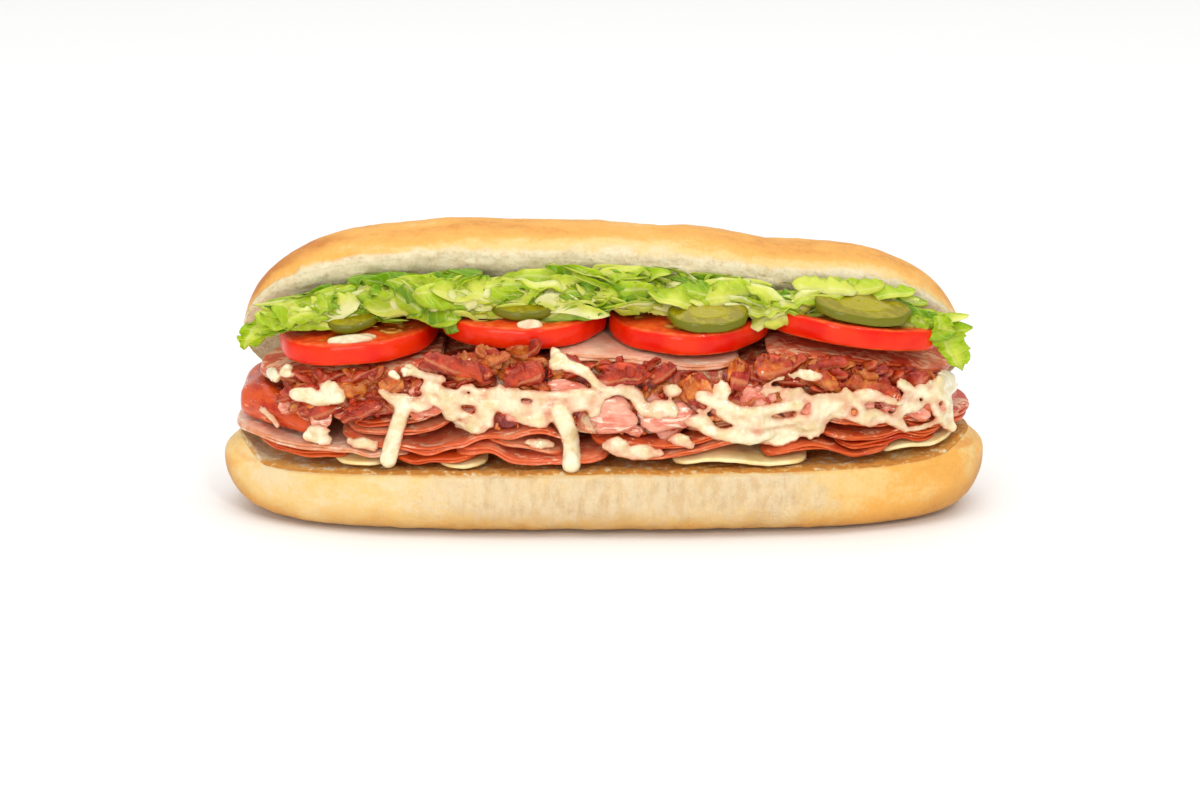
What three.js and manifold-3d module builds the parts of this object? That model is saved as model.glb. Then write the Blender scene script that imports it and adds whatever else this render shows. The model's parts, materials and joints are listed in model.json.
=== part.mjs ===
// A submarine sandwich: a soft long roll, cut open along its front and hinged at its back, packed
// with provolone, sliced meats, bacon, melted cheese, tomato, pickle and shredded lettuce.
// Millimetres. X runs along the roll, Y from the open front to the hinge, Z up from the table.

import * as THREE from 'three';
import Module from 'manifold-3d';

const wasm = await Module();
wasm.setup();

// ---------------------------------------------------------------- driving dimensions: the roll

const BASE_HALF_LENGTH = 150;
const BASE_HALF_WIDTH = 48;        // at the rim of the cut
const BASE_CENTRE_Y = -6;
const BASE_TAPER = 3.2;            // higher is a blunter end, seen from above
const BASE_BELLY = 1.03;           // the side bulges this much past the rim
const BASE_BELLY_HEIGHT = 0.46;    // share of the height at which it does
const BASE_SQUARENESS = 4;         // of the section below the belly
const BASE_TIP_LIFT = 22;          // how high the underside rises at the ends
const BASE_TIP_SHARPNESS = 12;
const BASE_FLATNESS = 1.04;        // above 1 leaves a flat strip to stand on
const BASE_SAG = 3.5;              // the filling presses the cut face down
const BASE_FRONT_RIM = [[-150, 26.5], [-142, 23], [-117, 23.6], [-78, 25.4], [0, 26.4], [113, 27], [150, 29]];
const BASE_BACK_RIM = [[-150, 34], [-132, 34], [-100, 30.5], [0, 29.6], [100, 31], [132, 34.6], [150, 35]];

const LID_HALF_LENGTH = 143.5;
const LID_HALF_WIDTH = 47;
const LID_TAPER = 4.6;
const LID_RISE = 41;
const LID_ROUNDNESS = 2.4;
const LID_HOLLOW = 12;             // the cut face is pressed in by the filling
const LID_OPENING = THREE.MathUtils.degToRad(54);
const LID_SPINE = [[-143, 0], [-35, 0], [0, -1], [40, -4], [64, -7.5], [95, -6.2], [119, -6], [143, -7]];
const HINGE_Y = 34.6;
const HINGE_Z = 32;
const HINGE_REACH = 39;            // from the lid's middle line to the hinge line
const CRUST_UNEVENNESS = 0.6;
const CLEAR_OF_LID = 1.4;

// ---------------------------------------------------------------- driving dimensions: the filling

const STATION = 6;                 // sheets bend only at multiples of this along X
const SHEET_GAP = 0.5;
const CORNER_RADIUS = 9;
const SLOPE = 0.06;                // every sheet rises this much per millimetre towards the hinge
const LOWER_PIVOT_Y = -50;         // the heights below are those at this depth
const UPPER_PIVOT_Y = -40;

// Lower stack, bottom one first. Edge: height of the underside along the front edge.
// Inset: how far the front edge lies behind the rim of the roll.
const LOWER_SHEETS = [
  { name: 'provolone_1', kind: 'provolone', from: -104, to: -83, inset: 3.5, thick: 1.6,
    edge: [[-104, 26], [-86, 26.5]] },
  { name: 'provolone_2', kind: 'provolone', from: -64, to: -44, inset: 3.4, thick: 1.6,
    edge: [[-64, 26.6], [-44, 26.6]] },
  { name: 'provolone_3', kind: 'provolone', from: 26, to: 78, inset: 3.6, thick: 1.7,
    edge: [[26, 27.4], [40, 30], [48, 29.4], [60, 27.8], [78, 27.6]] },
  { name: 'provolone_4', kind: 'provolone', from: 106, to: 137, inset: 4, thick: 1.7,
    edge: [[106, 27.6], [114, 31], [118, 31], [123, 28.8], [128, 28.8], [133, 30.4], [137, 29.6]] },
  { name: 'salami_1', kind: 'salami', from: -135, to: -97, inset: 4, thick: 2,
    edge: [[-135, 30], [-126, 25], [-114, 25], [-104, 27], [-97, 29]] },
  { name: 'capicola_1', kind: 'capicola', from: -83, to: -46, inset: 3.8, thick: 1.9,
    edge: [[-83, 26.5], [-65, 27], [-55, 29], [-46, 30.6]] },
  { name: 'salami_2', kind: 'salami', from: 60, to: 112, inset: 4, thick: 1.8,
    edge: [[60, 30.6], [71, 32.6], [79, 33.8], [86, 32.4], [94, 28.6], [103, 27], [112, 29]] },
  { name: 'ham_1', kind: 'ham', from: -57, to: 2, inset: 4, thick: 2.4,
    edge: [[-57, 31], [-40, 29], [-29, 28.2], [-16, 28.6], [2, 30]] },
  { name: 'ham_2', kind: 'ham', from: -2, to: 64, inset: 4, thick: 2,
    edge: [[-2, 29], [11, 29.4], [23, 30.4], [36, 33], [50, 36.6], [64, 40.6]] },
  { name: 'ham_3', kind: 'ham', from: -145, to: -74, inset: 3.4, thick: 2,
    edge: [[-145, 31.4], [-138, 30.4], [-132, 30.8], [-117, 30.6], [-101, 29.4], [-74, 28.8]] },
  { name: 'ham_4', kind: 'ham', from: -46, to: -13, inset: 5, thick: 1.8,
    edge: [[-46, 33.4], [-36, 34.4], [-29, 34.4], [-22, 32], [-13, 31]] },
  { name: 'salami_3', kind: 'salami', from: -5, to: 62, inset: 5, thick: 2,
    edge: [[-5, 35.6], [17, 34.2], [29, 34.6], [40, 37.6], [50, 41], [62, 43.4]] },
  { name: 'capicola_2', kind: 'capicola', from: 88, to: 129, inset: 5, thick: 1.7,
    edge: [[88, 33.6], [100, 31], [112, 32], [129, 31.6]] },
  { name: 'salami_4', kind: 'salami', from: 82, to: 133, inset: 5.5, thick: 1.8,
    edge: [[82, 36.4], [100, 34.6], [119, 34], [133, 32.6]] },
  { name: 'ham_5', kind: 'ham', from: -101, to: -12, inset: 4.4, thick: 2,
    edge: [[-101, 36.4], [-78, 30.4], [-63, 29.6], [-49, 32], [-40, 35.4], [-32, 39.6], [-24, 41.4],
      [-18, 39.4], [-12, 36]] },
  { name: 'capicola_3', kind: 'capicola', from: 112, to: 143, inset: 6, thick: 1.7,
    edge: [[112, 36.4], [124, 35.6], [134, 33.4], [143, 35]] },
  { name: 'ham_6', kind: 'ham', from: 30, to: 74, inset: 7.5, thick: 2,
    edge: [[30, 40], [46, 42.4], [60, 42.6], [74, 38]] },
  { name: 'ham_7', kind: 'ham', from: 84, to: 144, inset: 7, thick: 2,
    edge: [[84, 42], [99, 40.6], [111, 39], [123, 37], [130, 36], [138, 36], [144, 37.6]] },
  { name: 'ham_8', kind: 'ham', from: -99, to: -57, inset: 7, thick: 1.8,
    edge: [[-99, 37], [-79, 38.4], [-70, 38.4], [-62, 40.8], [-57, 44.6]] },
  { name: 'ham_9', kind: 'ham', from: -98, to: -60, inset: 8, thick: 1.8,
    edge: [[-98, 38.6], [-79, 42.6], [-72, 43], [-66, 45.4], [-60, 50.4]] },
];

const CAPICOLA_FOLD = {
  name: 'capicola_fold', kind: 'capicola', from: -142, to: -112, inset: 8, thick: 2.2, depth: 34,
  edge: [[-142, 37], [-137, 34.4], [-128, 34], [-112, 34.6]],
  crest: [[-142, 44], [-136, 51], [-128, 50], [-120, 43.5], [-112, 40]],
};

const UPPER_SHEETS = [
  { name: 'capicola_4', kind: 'capicola', from: 74, to: 132, inset: 13, thick: 1.8,
    edge: [[74, 63.4], [88, 62], [102, 59.6], [117, 56.4], [132, 52.4]] },
  { name: 'ham_10', kind: 'ham', from: -135, to: -62, inset: 13.4, thick: 3.2,
    edge: [[-135, 51.6], [-120, 55.4], [-101, 57], [-86, 58.4], [-72, 60], [-62, 61.4]] },
  { name: 'ham_11', kind: 'ham', from: -20, to: 52, inset: 13.6, thick: 1.9,
    edge: [[-20, 67.4], [-4, 67.4], [14, 65.4], [33, 63], [52, 63.6]] },
  { name: 'ham_12', kind: 'ham', from: 62, to: 136, inset: 13.8, thick: 1.9,
    edge: [[62, 66.4], [74, 66], [86, 64.4], [96, 62.9], [114, 59.6], [126, 56.6], [136, 52.6]] },
];

// Height of the underside of the upper sheets, tomatoes included: the melted cheese stops below it.
const CHEESE_CEILING = [[-132, 51.6], [-120, 54.8], [-101, 56], [-80, 57.8], [-62, 61.4], [-32, 65.6], [-4, 65.4],
  [20, 62.6], [52, 61.4], [66, 63.2], [88, 60.2], [102, 57.8], [117, 54.6], [132, 50.4], [140, 47]];
const CHEESE_FRONT = [[-132, 12], [-108, 9], [-92, 12], [-74, 11], [-58, 8], [-42, 7.6], [-28, 10], [-4, 9], [20, 12],
  [38, 9], [52, 7.4], [70, 7.2], [84, 10], [100, 8], [114, 9], [126, 7.4], [140, 9]];
const CHEESE_SPAN = [-126, 138];
const CHEESE_DRIPS = [
  { radius: 2.5, path: [[-78, 13, 52], [-79, 7, 51], [-80.5, 2, 48.5], [-81, 0.6, 42], [-81.5, 0.4, 35], [-82, 0.5, 30]] },
  { radius: 2.3, path: [[-9, 13, 43.6], [-10, 8, 42.6], [-11.4, 3, 40.6], [-12.4, 0.7, 36], [-13, 0.6, 29.6]] },
  { radius: 2, path: [[128, 12, 47], [130, 6, 46.5], [132, 2.4, 44], [133.5, 1.2, 39], [134.5, 1, 35.4]] },
];
const DRIP_TIP_SWELL = 1.35;
const DRIP_SIDES = 6;

const TOMATOES = [
  { x: -95.6, reach: 30.9, depth: 27, front: 63.8, slope: 0.055, lean: 0.075 },
  { x: -31.7, reach: 32.4, depth: 28, front: 69.8, slope: 0.08, lean: 0 },
  { x: 32.7, reach: 30.9, depth: 25, front: 67.2, slope: 0.16, lean: 0 },
  { x: 96.6, reach: 32.4, depth: 24, front: 65.4, slope: -0.05, lean: -0.13 },
];
const TOMATO_FRONT_Y = -38;
const TOMATO_THICK = 8.4;
const TOMATO_EDGE = 1.8;
const TOMATO_SIDES = 24;

// Each leans back on its tomato: its front edge rests there, its back edge is tipped up.
const PICKLES = [
  { on: 0, x: -98, y: -16.5, reach: 11.8, depth: 9.4, tip: 0.42 },
  { on: 1, x: -31, y: -20, reach: 14, depth: 10.5, tip: 0.3 },
  { on: 2, x: 39.8, y: -28.8, reach: 15.4, depth: 8.8, tip: 0.22 },
  { on: 3, x: 99, y: -26.6, reach: 18.6, depth: 10, tip: 0.32 },
];
const PICKLE_THICK = 3.4;
const PICKLE_EDGE = 0.9;
const PICKLE_SIDES = 16;

const LETTUCE_UNDERSIDE = [[-128, 75], [-95, 76.6], [-60, 80], [0, 81], [60, 80.4], [95, 80], [132, 70]];
const LETTUCE_CREST = [[-128, 80], [-116, 83], [-95, 89.5], [-70, 93.6], [-40, 93.4], [-13, 95.6], [17, 94.6], [40, 91.5],
  [59, 89], [97, 85], [120, 80], [132, 74]];
// Y of the front of the heap: it lies further back over the tomatoes than between them.
const LETTUCE_FRONT = [[-128, -27], [-116, -21], [-96, -17], [-76, -20], [-62, -26], [-32, -22], [0, -27], [14, -22],
  [34, -18], [56, -22], [66, -26], [84, -20], [108, -18], [127, -25]];
const LETTUCE_SPAN = [-125, 127];
const SHRED_COUNT = 18;
const SHRED_THICK = 1.2;
const SHRED_SEED = 41;

const BITE_SEED = 7;
// Bacon and ham pieces on the front slope: x, z, length, height, turn in degrees, squareness.
const BITES = [
  ['bacon_1', -114, 52.6, 24, 5.6, 6, 2],
  ['bacon_2', -97, 54.4, 14, 6.6, -10, 2],
  ['bacon_3', -109, 45, 17, 8.4, 10, 2.4],
  ['bacon_4', -91, 47.6, 21, 6.4, 10, 2],
  ['bacon_5', -81, 57.2, 10, 8, 30, 2],
  ['bacon_6', -54, 64.4, 24, 8.6, -8, 2],
  ['bacon_7', -30, 62.4, 19, 9.6, 10, 2],
  ['bacon_8', -17, 45.6, 15, 5.4, -14, 2],
  ['bacon_9', 8, 63.4, 22, 8, -4, 2],
  ['bacon_10', 34, 57.4, 13, 11, 35, 2],
  ['bacon_11', 64, 64.8, 17, 9.6, 16, 2],
  ['bacon_12', 50.4, 61.4, 9, 13, -12, 2],
  ['bacon_13', 83.6, 59.6, 11, 7.6, -24, 2.4],
  ['bacon_14', 101, 55.4, 26, 7.4, -8, 2],
  ['bacon_15', 123, 51, 14, 6, -14, 2],
  ['ham_bite_1', -32, 48.6, 11.4, 8.4, 6, 4],
  ['ham_bite_2', -12.6, 55.2, 17, 8.6, -20, 3],
  ['ham_bite_3', 2.8, 45.6, 16, 13.6, 12, 4],
  ['ham_bite_4', 23.4, 46.2, 20, 11, 8, 3],
  ['ham_bite_5', 57, 49.4, 12.4, 9.6, -10, 4],
  ['ham_bite_6', 90, 49.6, 9, 7, 14, 3],
  ['ham_bite_7', 110, 46.4, 9, 7, -20, 3],
];
const BITE_INSET = 9;
const BITE_DEPTH = 6.8;

// ---------------------------------------------------------------- colours

const LOOKS = {
  bread: { color: 0xedb968, roughness: 0.85, metalness: 0 },
  provolone: { color: 0xf3e6b8, roughness: 0.5, metalness: 0 },
  salami: { color: 0xb8443a, roughness: 0.4, metalness: 0 },
  capicola: { color: 0xa8322f, roughness: 0.4, metalness: 0 },
  ham: { color: 0xe59a94, roughness: 0.4, metalness: 0 },
  bacon: { color: 0xa83a24, roughness: 0.35, metalness: 0 },
  cheese: { color: 0xf4e8cc, roughness: 0.3, metalness: 0 },
  tomato: { color: 0xd8301c, roughness: 0.25, metalness: 0 },
  pickle: { color: 0x71802e, roughness: 0.3, metalness: 0 },
  lettuce: { color: 0xb4cc62, roughness: 0.5, metalness: 0 },
};

// ---------------------------------------------------------------- small helpers

// Value at x of a line through [x, value] pairs, held level past its ends.
function along(pairs, x) {
  if (x <= pairs[0][0]) return pairs[0][1];
  for (let i = 1; i < pairs.length; i++) {
    const [x0, a] = pairs[i - 1];
    const [x1, b] = pairs[i];
    if (x <= x1) return a + (b - a) * (x - x0) / (x1 - x0);
  }
  return pairs[pairs.length - 1][1];
}

function signedPower(value, power) {
  return Math.sign(value) * Math.abs(value) ** power;
}

// Seeded random numbers from 0 to 1.
function randomFrom(seed) {
  let state = seed >>> 0;
  return () => {
    state = (state * 1664525 + 1013904223) >>> 0;
    return state / 4294967296;
  };
}

// A slow, repeatable unevenness between -1 and 1.
function ripple(a, b, seed) {
  return (Math.sin(a * 1.7 + seed * 2.1) * Math.cos(b * 2.3 - seed) + Math.sin(a * 0.6 - b * 1.1 + seed * 0.7)) / 2;
}

function spread(from, to, count) {
  return Array.from({ length: count }, (_, i) => from + (to - from) * i / (count - 1));
}

// ---------------------------------------------------------------- closed bodies

// Skin over closed loops of points, with a point closing each end.
function loft(loops, firstPole, lastPole) {
  const around = loops[0].length;
  const points = [firstPole, ...loops.flat(), lastPole];
  const last = points.length - 1;
  const at = (i, j) => 1 + i * around + j % around;
  const faces = [];
  for (let j = 0; j < around; j++) {
    faces.push([0, at(0, j + 1), at(0, j)]);
    faces.push([last, at(loops.length - 1, j), at(loops.length - 1, j + 1)]);
    for (let i = 0; i + 1 < loops.length; i++) {
      faces.push([at(i, j), at(i, j + 1), at(i + 1, j + 1)]);
      faces.push([at(i, j), at(i + 1, j + 1), at(i + 1, j)]);
    }
  }
  return { points, faces };
}

// Solid between two grids of points of the same size, both split into triangles alike.
function slab(upper, lower) {
  const rows = upper.length;
  const columns = upper[0].length;
  const points = [...upper.flat(), ...lower.flat()];
  const top = (i, j) => i * columns + j;
  const under = (i, j) => rows * columns + top(i, j);
  const faces = [];
  const quad = (a, b, c, d) => faces.push([a, b, c], [a, c, d]);
  for (let i = 0; i + 1 < rows; i++) {
    for (let j = 0; j + 1 < columns; j++) {
      quad(top(i, j), top(i + 1, j), top(i + 1, j + 1), top(i, j + 1));
      faces.push([under(i, j), under(i + 1, j + 1), under(i + 1, j)]);
      faces.push([under(i, j), under(i, j + 1), under(i + 1, j + 1)]);
    }
    quad(under(i, 0), under(i + 1, 0), top(i + 1, 0), top(i, 0));
    quad(top(i, columns - 1), top(i + 1, columns - 1), under(i + 1, columns - 1), under(i, columns - 1));
  }
  for (let j = 0; j + 1 < columns; j++) {
    quad(top(0, j), top(0, j + 1), under(0, j + 1), under(0, j));
    quad(under(rows - 1, j), under(rows - 1, j + 1), top(rows - 1, j + 1), top(rows - 1, j));
  }
  return { points, faces };
}

function signedVolume({ points, faces }) {
  const cross = new THREE.Vector3();
  let sum = 0;
  for (const [a, b, c] of faces) sum += cross.crossVectors(points[b], points[c]).dot(points[a]);
  return sum;
}

function solidFrom(body) {
  const faces = signedVolume(body) < 0 ? body.faces.map(([a, b, c]) => [a, c, b]) : body.faces;
  return new wasm.Manifold(new wasm.Mesh({
    numProp: 3,
    vertProperties: new Float32Array(body.points.flatMap((point) => point.toArray())),
    triVerts: new Uint32Array(faces.flat()),
  }));
}

function largestPart(solid) {
  return solid.decompose().reduce((best, part) => (part.volume() > best.volume() ? part : best));
}

function sizesOf(solid) {
  const { min, max } = solid.boundingBox();
  return [0, 1, 2].map((k) => ({ middle: (min[k] + max[k]) / 2, size: max[k] - min[k], min: min[k], max: max[k] }));
}

// The solid grown by a margin on every side of its box.
function grown(solid, margin) {
  const boxes = sizesOf(solid);
  const middle = boxes.map((box) => box.middle);
  const scale = boxes.map((box) => (box.size + 2 * margin) / box.size);
  return solid.translate(middle.map((value) => -value)).scale(scale).translate(middle);
}

function boxesMeet(a, b, margin) {
  const other = sizesOf(b);
  return sizesOf(a).every((box, k) => box.min < other[k].max + margin && other[k].min < box.max + margin);
}

// What is left of the solid clear of its neighbours.
function clearOf(solid, neighbours, margin) {
  const near = neighbours.filter((other) => boxesMeet(solid, other, margin));
  return largestPart(near.reduce((rest, other) => rest.subtract(grown(other, margin)), solid));
}

// ---------------------------------------------------------------- the roll

function baseShare(x) {
  return Math.sqrt(Math.max(0, 1 - Math.abs(x / BASE_HALF_LENGTH) ** BASE_TAPER));
}

function lidShare(x) {
  return Math.sqrt(Math.max(0, 1 - Math.abs(x / LID_HALF_LENGTH) ** LID_TAPER));
}

// Height of the base's cut face; across runs from -1 at the front rim to 1 at the back rim.
function cutHeight(x, across) {
  const front = along(BASE_FRONT_RIM, x);
  const mean = front + (along(BASE_BACK_RIM, x) - front) * (across + 1) / 2;
  return mean - BASE_SAG * baseShare(x) * (1 - across ** 2);
}

// Y at a given distance behind the front rim.
function frontY(x, inset) {
  return BASE_CENTRE_Y - Math.max(BASE_HALF_WIDTH * baseShare(x) - inset, 1);
}

function backY(x, inset) {
  return BASE_CENTRE_Y + Math.max(BASE_HALF_WIDTH * baseShare(x) - inset, 1);
}

function underside(x) {
  const rise = BASE_TIP_LIFT * (1 - Math.sqrt(1 - Math.abs(x / BASE_HALF_LENGTH) ** BASE_TIP_SHARPNESS));
  return Math.max(0, rise - 0.1);
}

function baseSection(x) {
  const reach = BASE_HALF_WIDTH * baseShare(x);
  const low = underside(x);
  const loop = [new THREE.Vector3(x, BASE_CENTRE_Y - reach, cutHeight(x, -1))];
  for (const angle of spread(0, Math.PI, 11)) {
    const side = -signedPower(Math.cos(angle), 2 / BASE_SQUARENESS);
    const sink = Math.min(1, BASE_FLATNESS * Math.abs(Math.sin(angle)) ** (2 / BASE_SQUARENESS));
    const belly = low + (cutHeight(x, side < 0 ? -1 : 1) - low) * BASE_BELLY_HEIGHT;
    const bump = CRUST_UNEVENNESS * ripple(x / 23, angle * 2, 3) * (1 - sink);
    loop.push(new THREE.Vector3(x, BASE_CENTRE_Y + side * reach * BASE_BELLY + bump, belly - (belly - low) * sink));
  }
  for (const across of spread(1, -1, 7).slice(0, -1)) {
    loop.push(new THREE.Vector3(x, BASE_CENTRE_Y + reach * across, cutHeight(x, across)));
  }
  return loop;
}

// A point of the lid: across its width and up from its cut plane, turned open about the hinge.
function lidPoint(x, across, up) {
  const out = across - HINGE_REACH;
  const y = HINGE_Y + out * Math.cos(LID_OPENING) + up * Math.sin(LID_OPENING);
  const z = HINGE_Z - out * Math.sin(LID_OPENING) + up * Math.cos(LID_OPENING);
  return new THREE.Vector3(x, y, z + along(LID_SPINE, x));
}

function lidFacePoint(x, side) {
  const share = lidShare(x);
  return lidPoint(x, side * LID_HALF_WIDTH * share, LID_HOLLOW * share * (1 - side ** 2));
}

// Y of the lid's cut face at a height, less a margin.
function lidFaceY(x, z) {
  let upper = -1;
  let lower = 1;
  if (z < lidFacePoint(x, lower).z) return Infinity;
  for (let step = 0; step < 20; step++) {
    const middle = (upper + lower) / 2;
    if (lidFacePoint(x, middle).z > z) upper = middle;
    else lower = middle;
  }
  return lidFacePoint(x, upper).y - CLEAR_OF_LID;
}

function lidSection(x) {
  const share = lidShare(x);
  const loop = [];
  for (const angle of spread(0, Math.PI, 13)) {
    const side = -signedPower(Math.cos(angle), 2 / LID_ROUNDNESS);
    const rise = Math.abs(Math.sin(angle)) ** (2 / LID_ROUNDNESS);
    const bump = CRUST_UNEVENNESS * ripple(x / 19, angle * 2, 5) * rise * share;
    loop.push(lidPoint(x, side * LID_HALF_WIDTH * share, LID_RISE * share * rise + bump));
  }
  for (const side of spread(1, -1, 7).slice(1, -1)) loop.push(lidFacePoint(x, side));
  return loop;
}

// Stations along a half of the roll, closer together towards its ends.
function rollStations(halfLength, count) {
  return spread(-Math.PI / 2, Math.PI / 2, count).map((angle) => halfLength * Math.sin(angle));
}

function rollHalf(halfLength, section, tip) {
  const stations = rollStations(halfLength, 32).slice(1, -1);
  return solidFrom(loft(stations.map(section), tip(-halfLength), tip(halfLength)));
}

function makeRoll() {
  const baseTip = (x) => new THREE.Vector3(x, BASE_CENTRE_Y, (underside(x) + cutHeight(x, 0)) / 2);
  const lidTip = (x) => lidPoint(x, 0, 0);
  const base = rollHalf(BASE_HALF_LENGTH, baseSection, baseTip);
  return base.add(rollHalf(LID_HALF_LENGTH, lidSection, lidTip));
}

// ---------------------------------------------------------------- sheets of meat and cheese

// Heights at every station, read as a line from one to the next.
class Terrain {
  constructor(height) {
    this.first = -BASE_HALF_LENGTH / STATION;
    this.heights = spread(this.first, -this.first, 1 - 2 * this.first).map((k) => height(k * STATION));
  }

  at(x) {
    const place = x / STATION - this.first;
    const k = Math.min(Math.floor(place), this.heights.length - 2);
    return this.heights[k] + (this.heights[k + 1] - this.heights[k]) * (place - k);
  }

  // Lays a sheet on top: where it lies, and the terrain left above it.
  lay(from, to, edge, thick) {
    const lowest = new Terrain(() => 0);
    lowest.heights = this.heights.map((height, k) => {
      const x = (k + this.first) * STATION;
      return Math.max(height + SHEET_GAP, along(edge, x));
    });
    const start = Math.floor(from / STATION) - this.first;
    const end = Math.ceil(to / STATION) - this.first;
    for (let k = start; k <= end; k++) this.heights[k] = lowest.heights[k] + thick;
    return lowest;
  }
}

// X of the sections of a sheet: its ends, the stations between them, and more at its round corners.
function sheetSections(from, to) {
  const radius = Math.min(CORNER_RADIUS, (to - from) / 2);
  const corners = [0, 0.07, 0.25].flatMap((t) => [from + t * radius, to - t * radius]);
  const stations = spread(-25, 25, 51).map((k) => k * STATION).filter((x) => x > from && x < to);
  const all = [...corners, ...stations].sort((a, b) => a - b);
  return all.filter((x, i) => i === 0 || x - all[i - 1] > 0.4 || x === to);
}

// How far a sheet's rounded corner draws back from its straight edge.
function cornerDraw(x, from, to) {
  const radius = Math.min(CORNER_RADIUS, (to - from) / 2);
  const reach = Math.max(0, Math.abs(x - (from + to) / 2) - ((to - from) / 2 - radius)) / radius;
  return radius * (1 - Math.sqrt(Math.max(0, 1 - reach ** 2)));
}

// A flexible sheet from its front edge back to the lid, lying at the terrain's height.
function makeSheet({ from, to, inset, thick }, lowest, pivotY) {
  const upper = [];
  const lower = [];
  for (const x of sheetSections(from, to)) {
    const height = (y) => lowest.at(x) + SLOPE * (y - pivotY);
    const draw = cornerDraw(x, from, to);
    const front = frontY(x, inset + draw);
    const back = Math.max(front + 1, Math.min(backY(x, inset + draw), lidFaceY(x, height(0) + thick)));
    lower.push([front, back].map((y) => new THREE.Vector3(x, y, height(y))));
    upper.push([front, back].map((y) => new THREE.Vector3(x, y, height(y) + thick)));
  }
  return solidFrom(slab(upper, lower));
}

// A slice folded over on itself, its bend to the front: two layers joined by a round nose.
function makeFold({ from, to, inset, thick, depth }, lowest, top) {
  const outer = [];
  const inner = [];
  for (const x of sheetSections(from, to)) {
    const low = lowest.at(x);
    const high = top.at(x);
    const middle = (low + high) / 2;
    const half = (high - low) / 2;
    const front = frontY(x, inset);
    const back = Math.min(front + depth, backY(x, inset));
    const nose = Math.min(half, (back - front) * 0.6);
    const point = (y, z) => new THREE.Vector3(x, y, z + SLOPE * (y - LOWER_PIVOT_Y));
    const profile = (shrink) => [
      point(back, middle - half + shrink),
      ...spread(-Math.PI / 2, Math.PI / 2, 5).map((angle) => point(
        front + nose - (nose - shrink) * Math.cos(angle), middle + (half - shrink) * Math.sin(angle))),
      point(back, middle + half - shrink),
    ];
    outer.push(profile(0));
    inner.push(profile(thick));
  }
  return solidFrom(slab(outer, inner));
}

// ---------------------------------------------------------------- tomatoes and pickles

// A round slice lying on a tilted plane, its edge softened, cut off where it meets the lid.
function makeDisc({ x, y, z, reach, depth, thick, edge, sides, slope, lean }) {
  const ring = (share, up) => spread(0, 2 * Math.PI, sides + 1).slice(1).map((angle) => {
    const px = x + share * reach * Math.cos(angle);
    const py = y + share * depth * Math.sin(angle);
    const height = (atY) => z + up + slope * (atY - y) + lean * (px - x);
    const limit = lidFaceY(px, height(py));
    const clipped = Math.min(py, Math.max(limit, y));
    return new THREE.Vector3(px, clipped, height(clipped));
  });
  const inner = 1 - edge / reach;
  const soft = 1 - 0.3 * edge / reach;
  const loops = [ring(inner, thick), ring(soft, thick - edge * 0.4), ring(1, thick / 2), ring(soft, edge * 0.4), ring(inner, 0)];
  const pole = (up) => new THREE.Vector3(x, y, z + up);
  return solidFrom(loft(loops, pole(thick), pole(0)));
}

// Lowest height at which a tomato's underside clears the sheets below it.
function tomatoRest({ x, reach, depth, front, slope, lean }, below) {
  let rest = front;
  for (const px of spread(x - reach, x + reach, 25)) {
    const half = depth * Math.sqrt(Math.max(0, 1 - ((px - x) / reach) ** 2));
    const centreY = TOMATO_FRONT_Y + depth;
    for (const y of [centreY - half, centreY + half]) {
      const sheet = below.at(px) + SLOPE * (y - UPPER_PIVOT_Y) + SHEET_GAP;
      rest = Math.max(rest, sheet - slope * (y - TOMATO_FRONT_Y) - lean * (px - x));
    }
  }
  return rest;
}

function makeTomato(slice, below) {
  const y = TOMATO_FRONT_Y + slice.depth;
  const z = tomatoRest(slice, below) + slice.slope * slice.depth;
  return { ...slice, y, z, thick: TOMATO_THICK, edge: TOMATO_EDGE, sides: TOMATO_SIDES };
}

function makePickle({ on, x, y, reach, depth, tip }, tomatoes) {
  const { slope, lean, ...under } = tomatoes[on];
  const z = under.z + under.thick + slope * (y - under.y) + lean * (x - under.x) + SHEET_GAP + tip * depth;
  const look = { thick: PICKLE_THICK, edge: PICKLE_EDGE, sides: PICKLE_SIDES, slope: slope + tip, lean };
  return makeDisc({ x, y, z, reach, depth, ...look });
}

// ---------------------------------------------------------------- bacon and ham pieces

// A lump with flats and dents: a ball pressed towards a box, turned in the plane of the front.
function makeBite([, x, z, length, height, turn, squareness], seed, floorAt) {
  const ball = new THREE.IcosahedronGeometry(1, 1);
  const place = ball.attributes.position;
  const half = [length / 2, BITE_DEPTH / 2, height / 2];
  const angle = THREE.MathUtils.degToRad(turn);
  const points = [];
  const faces = [];
  const known = new Map();
  for (let i = 0; i < place.count; i++) {
    const point = new THREE.Vector3().fromBufferAttribute(place, i);
    const key = point.toArray().map((value) => value.toFixed(3)).join();
    if (!known.has(key)) {
      known.set(key, points.length);
      const swell = 1 + 0.16 * ripple(point.x * 3, point.z * 3 + point.y * 2, seed);
      const norm = [point.x, point.y, point.z].reduce((sum, value) => sum + Math.abs(value) ** squareness, 0);
      points.push(point.multiplyScalar(swell * norm ** (-1 / squareness)).multiply(new THREE.Vector3(...half)));
    }
    faces.push(known.get(key));
  }
  const lift = Math.max(z, floorAt(x) + height / 2 + Math.abs(Math.sin(angle)) * length / 2);
  for (const point of points) {
    point.applyAxisAngle(new THREE.Vector3(0, 1, 0), -angle);
    point.add(new THREE.Vector3(x, frontY(x, BITE_INSET), lift));
  }
  return solidFrom({ points, faces: Array.from({ length: faces.length / 3 }, (_, k) => faces.slice(3 * k, 3 * k + 3)) });
}

// ---------------------------------------------------------------- melted cheese

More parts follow.
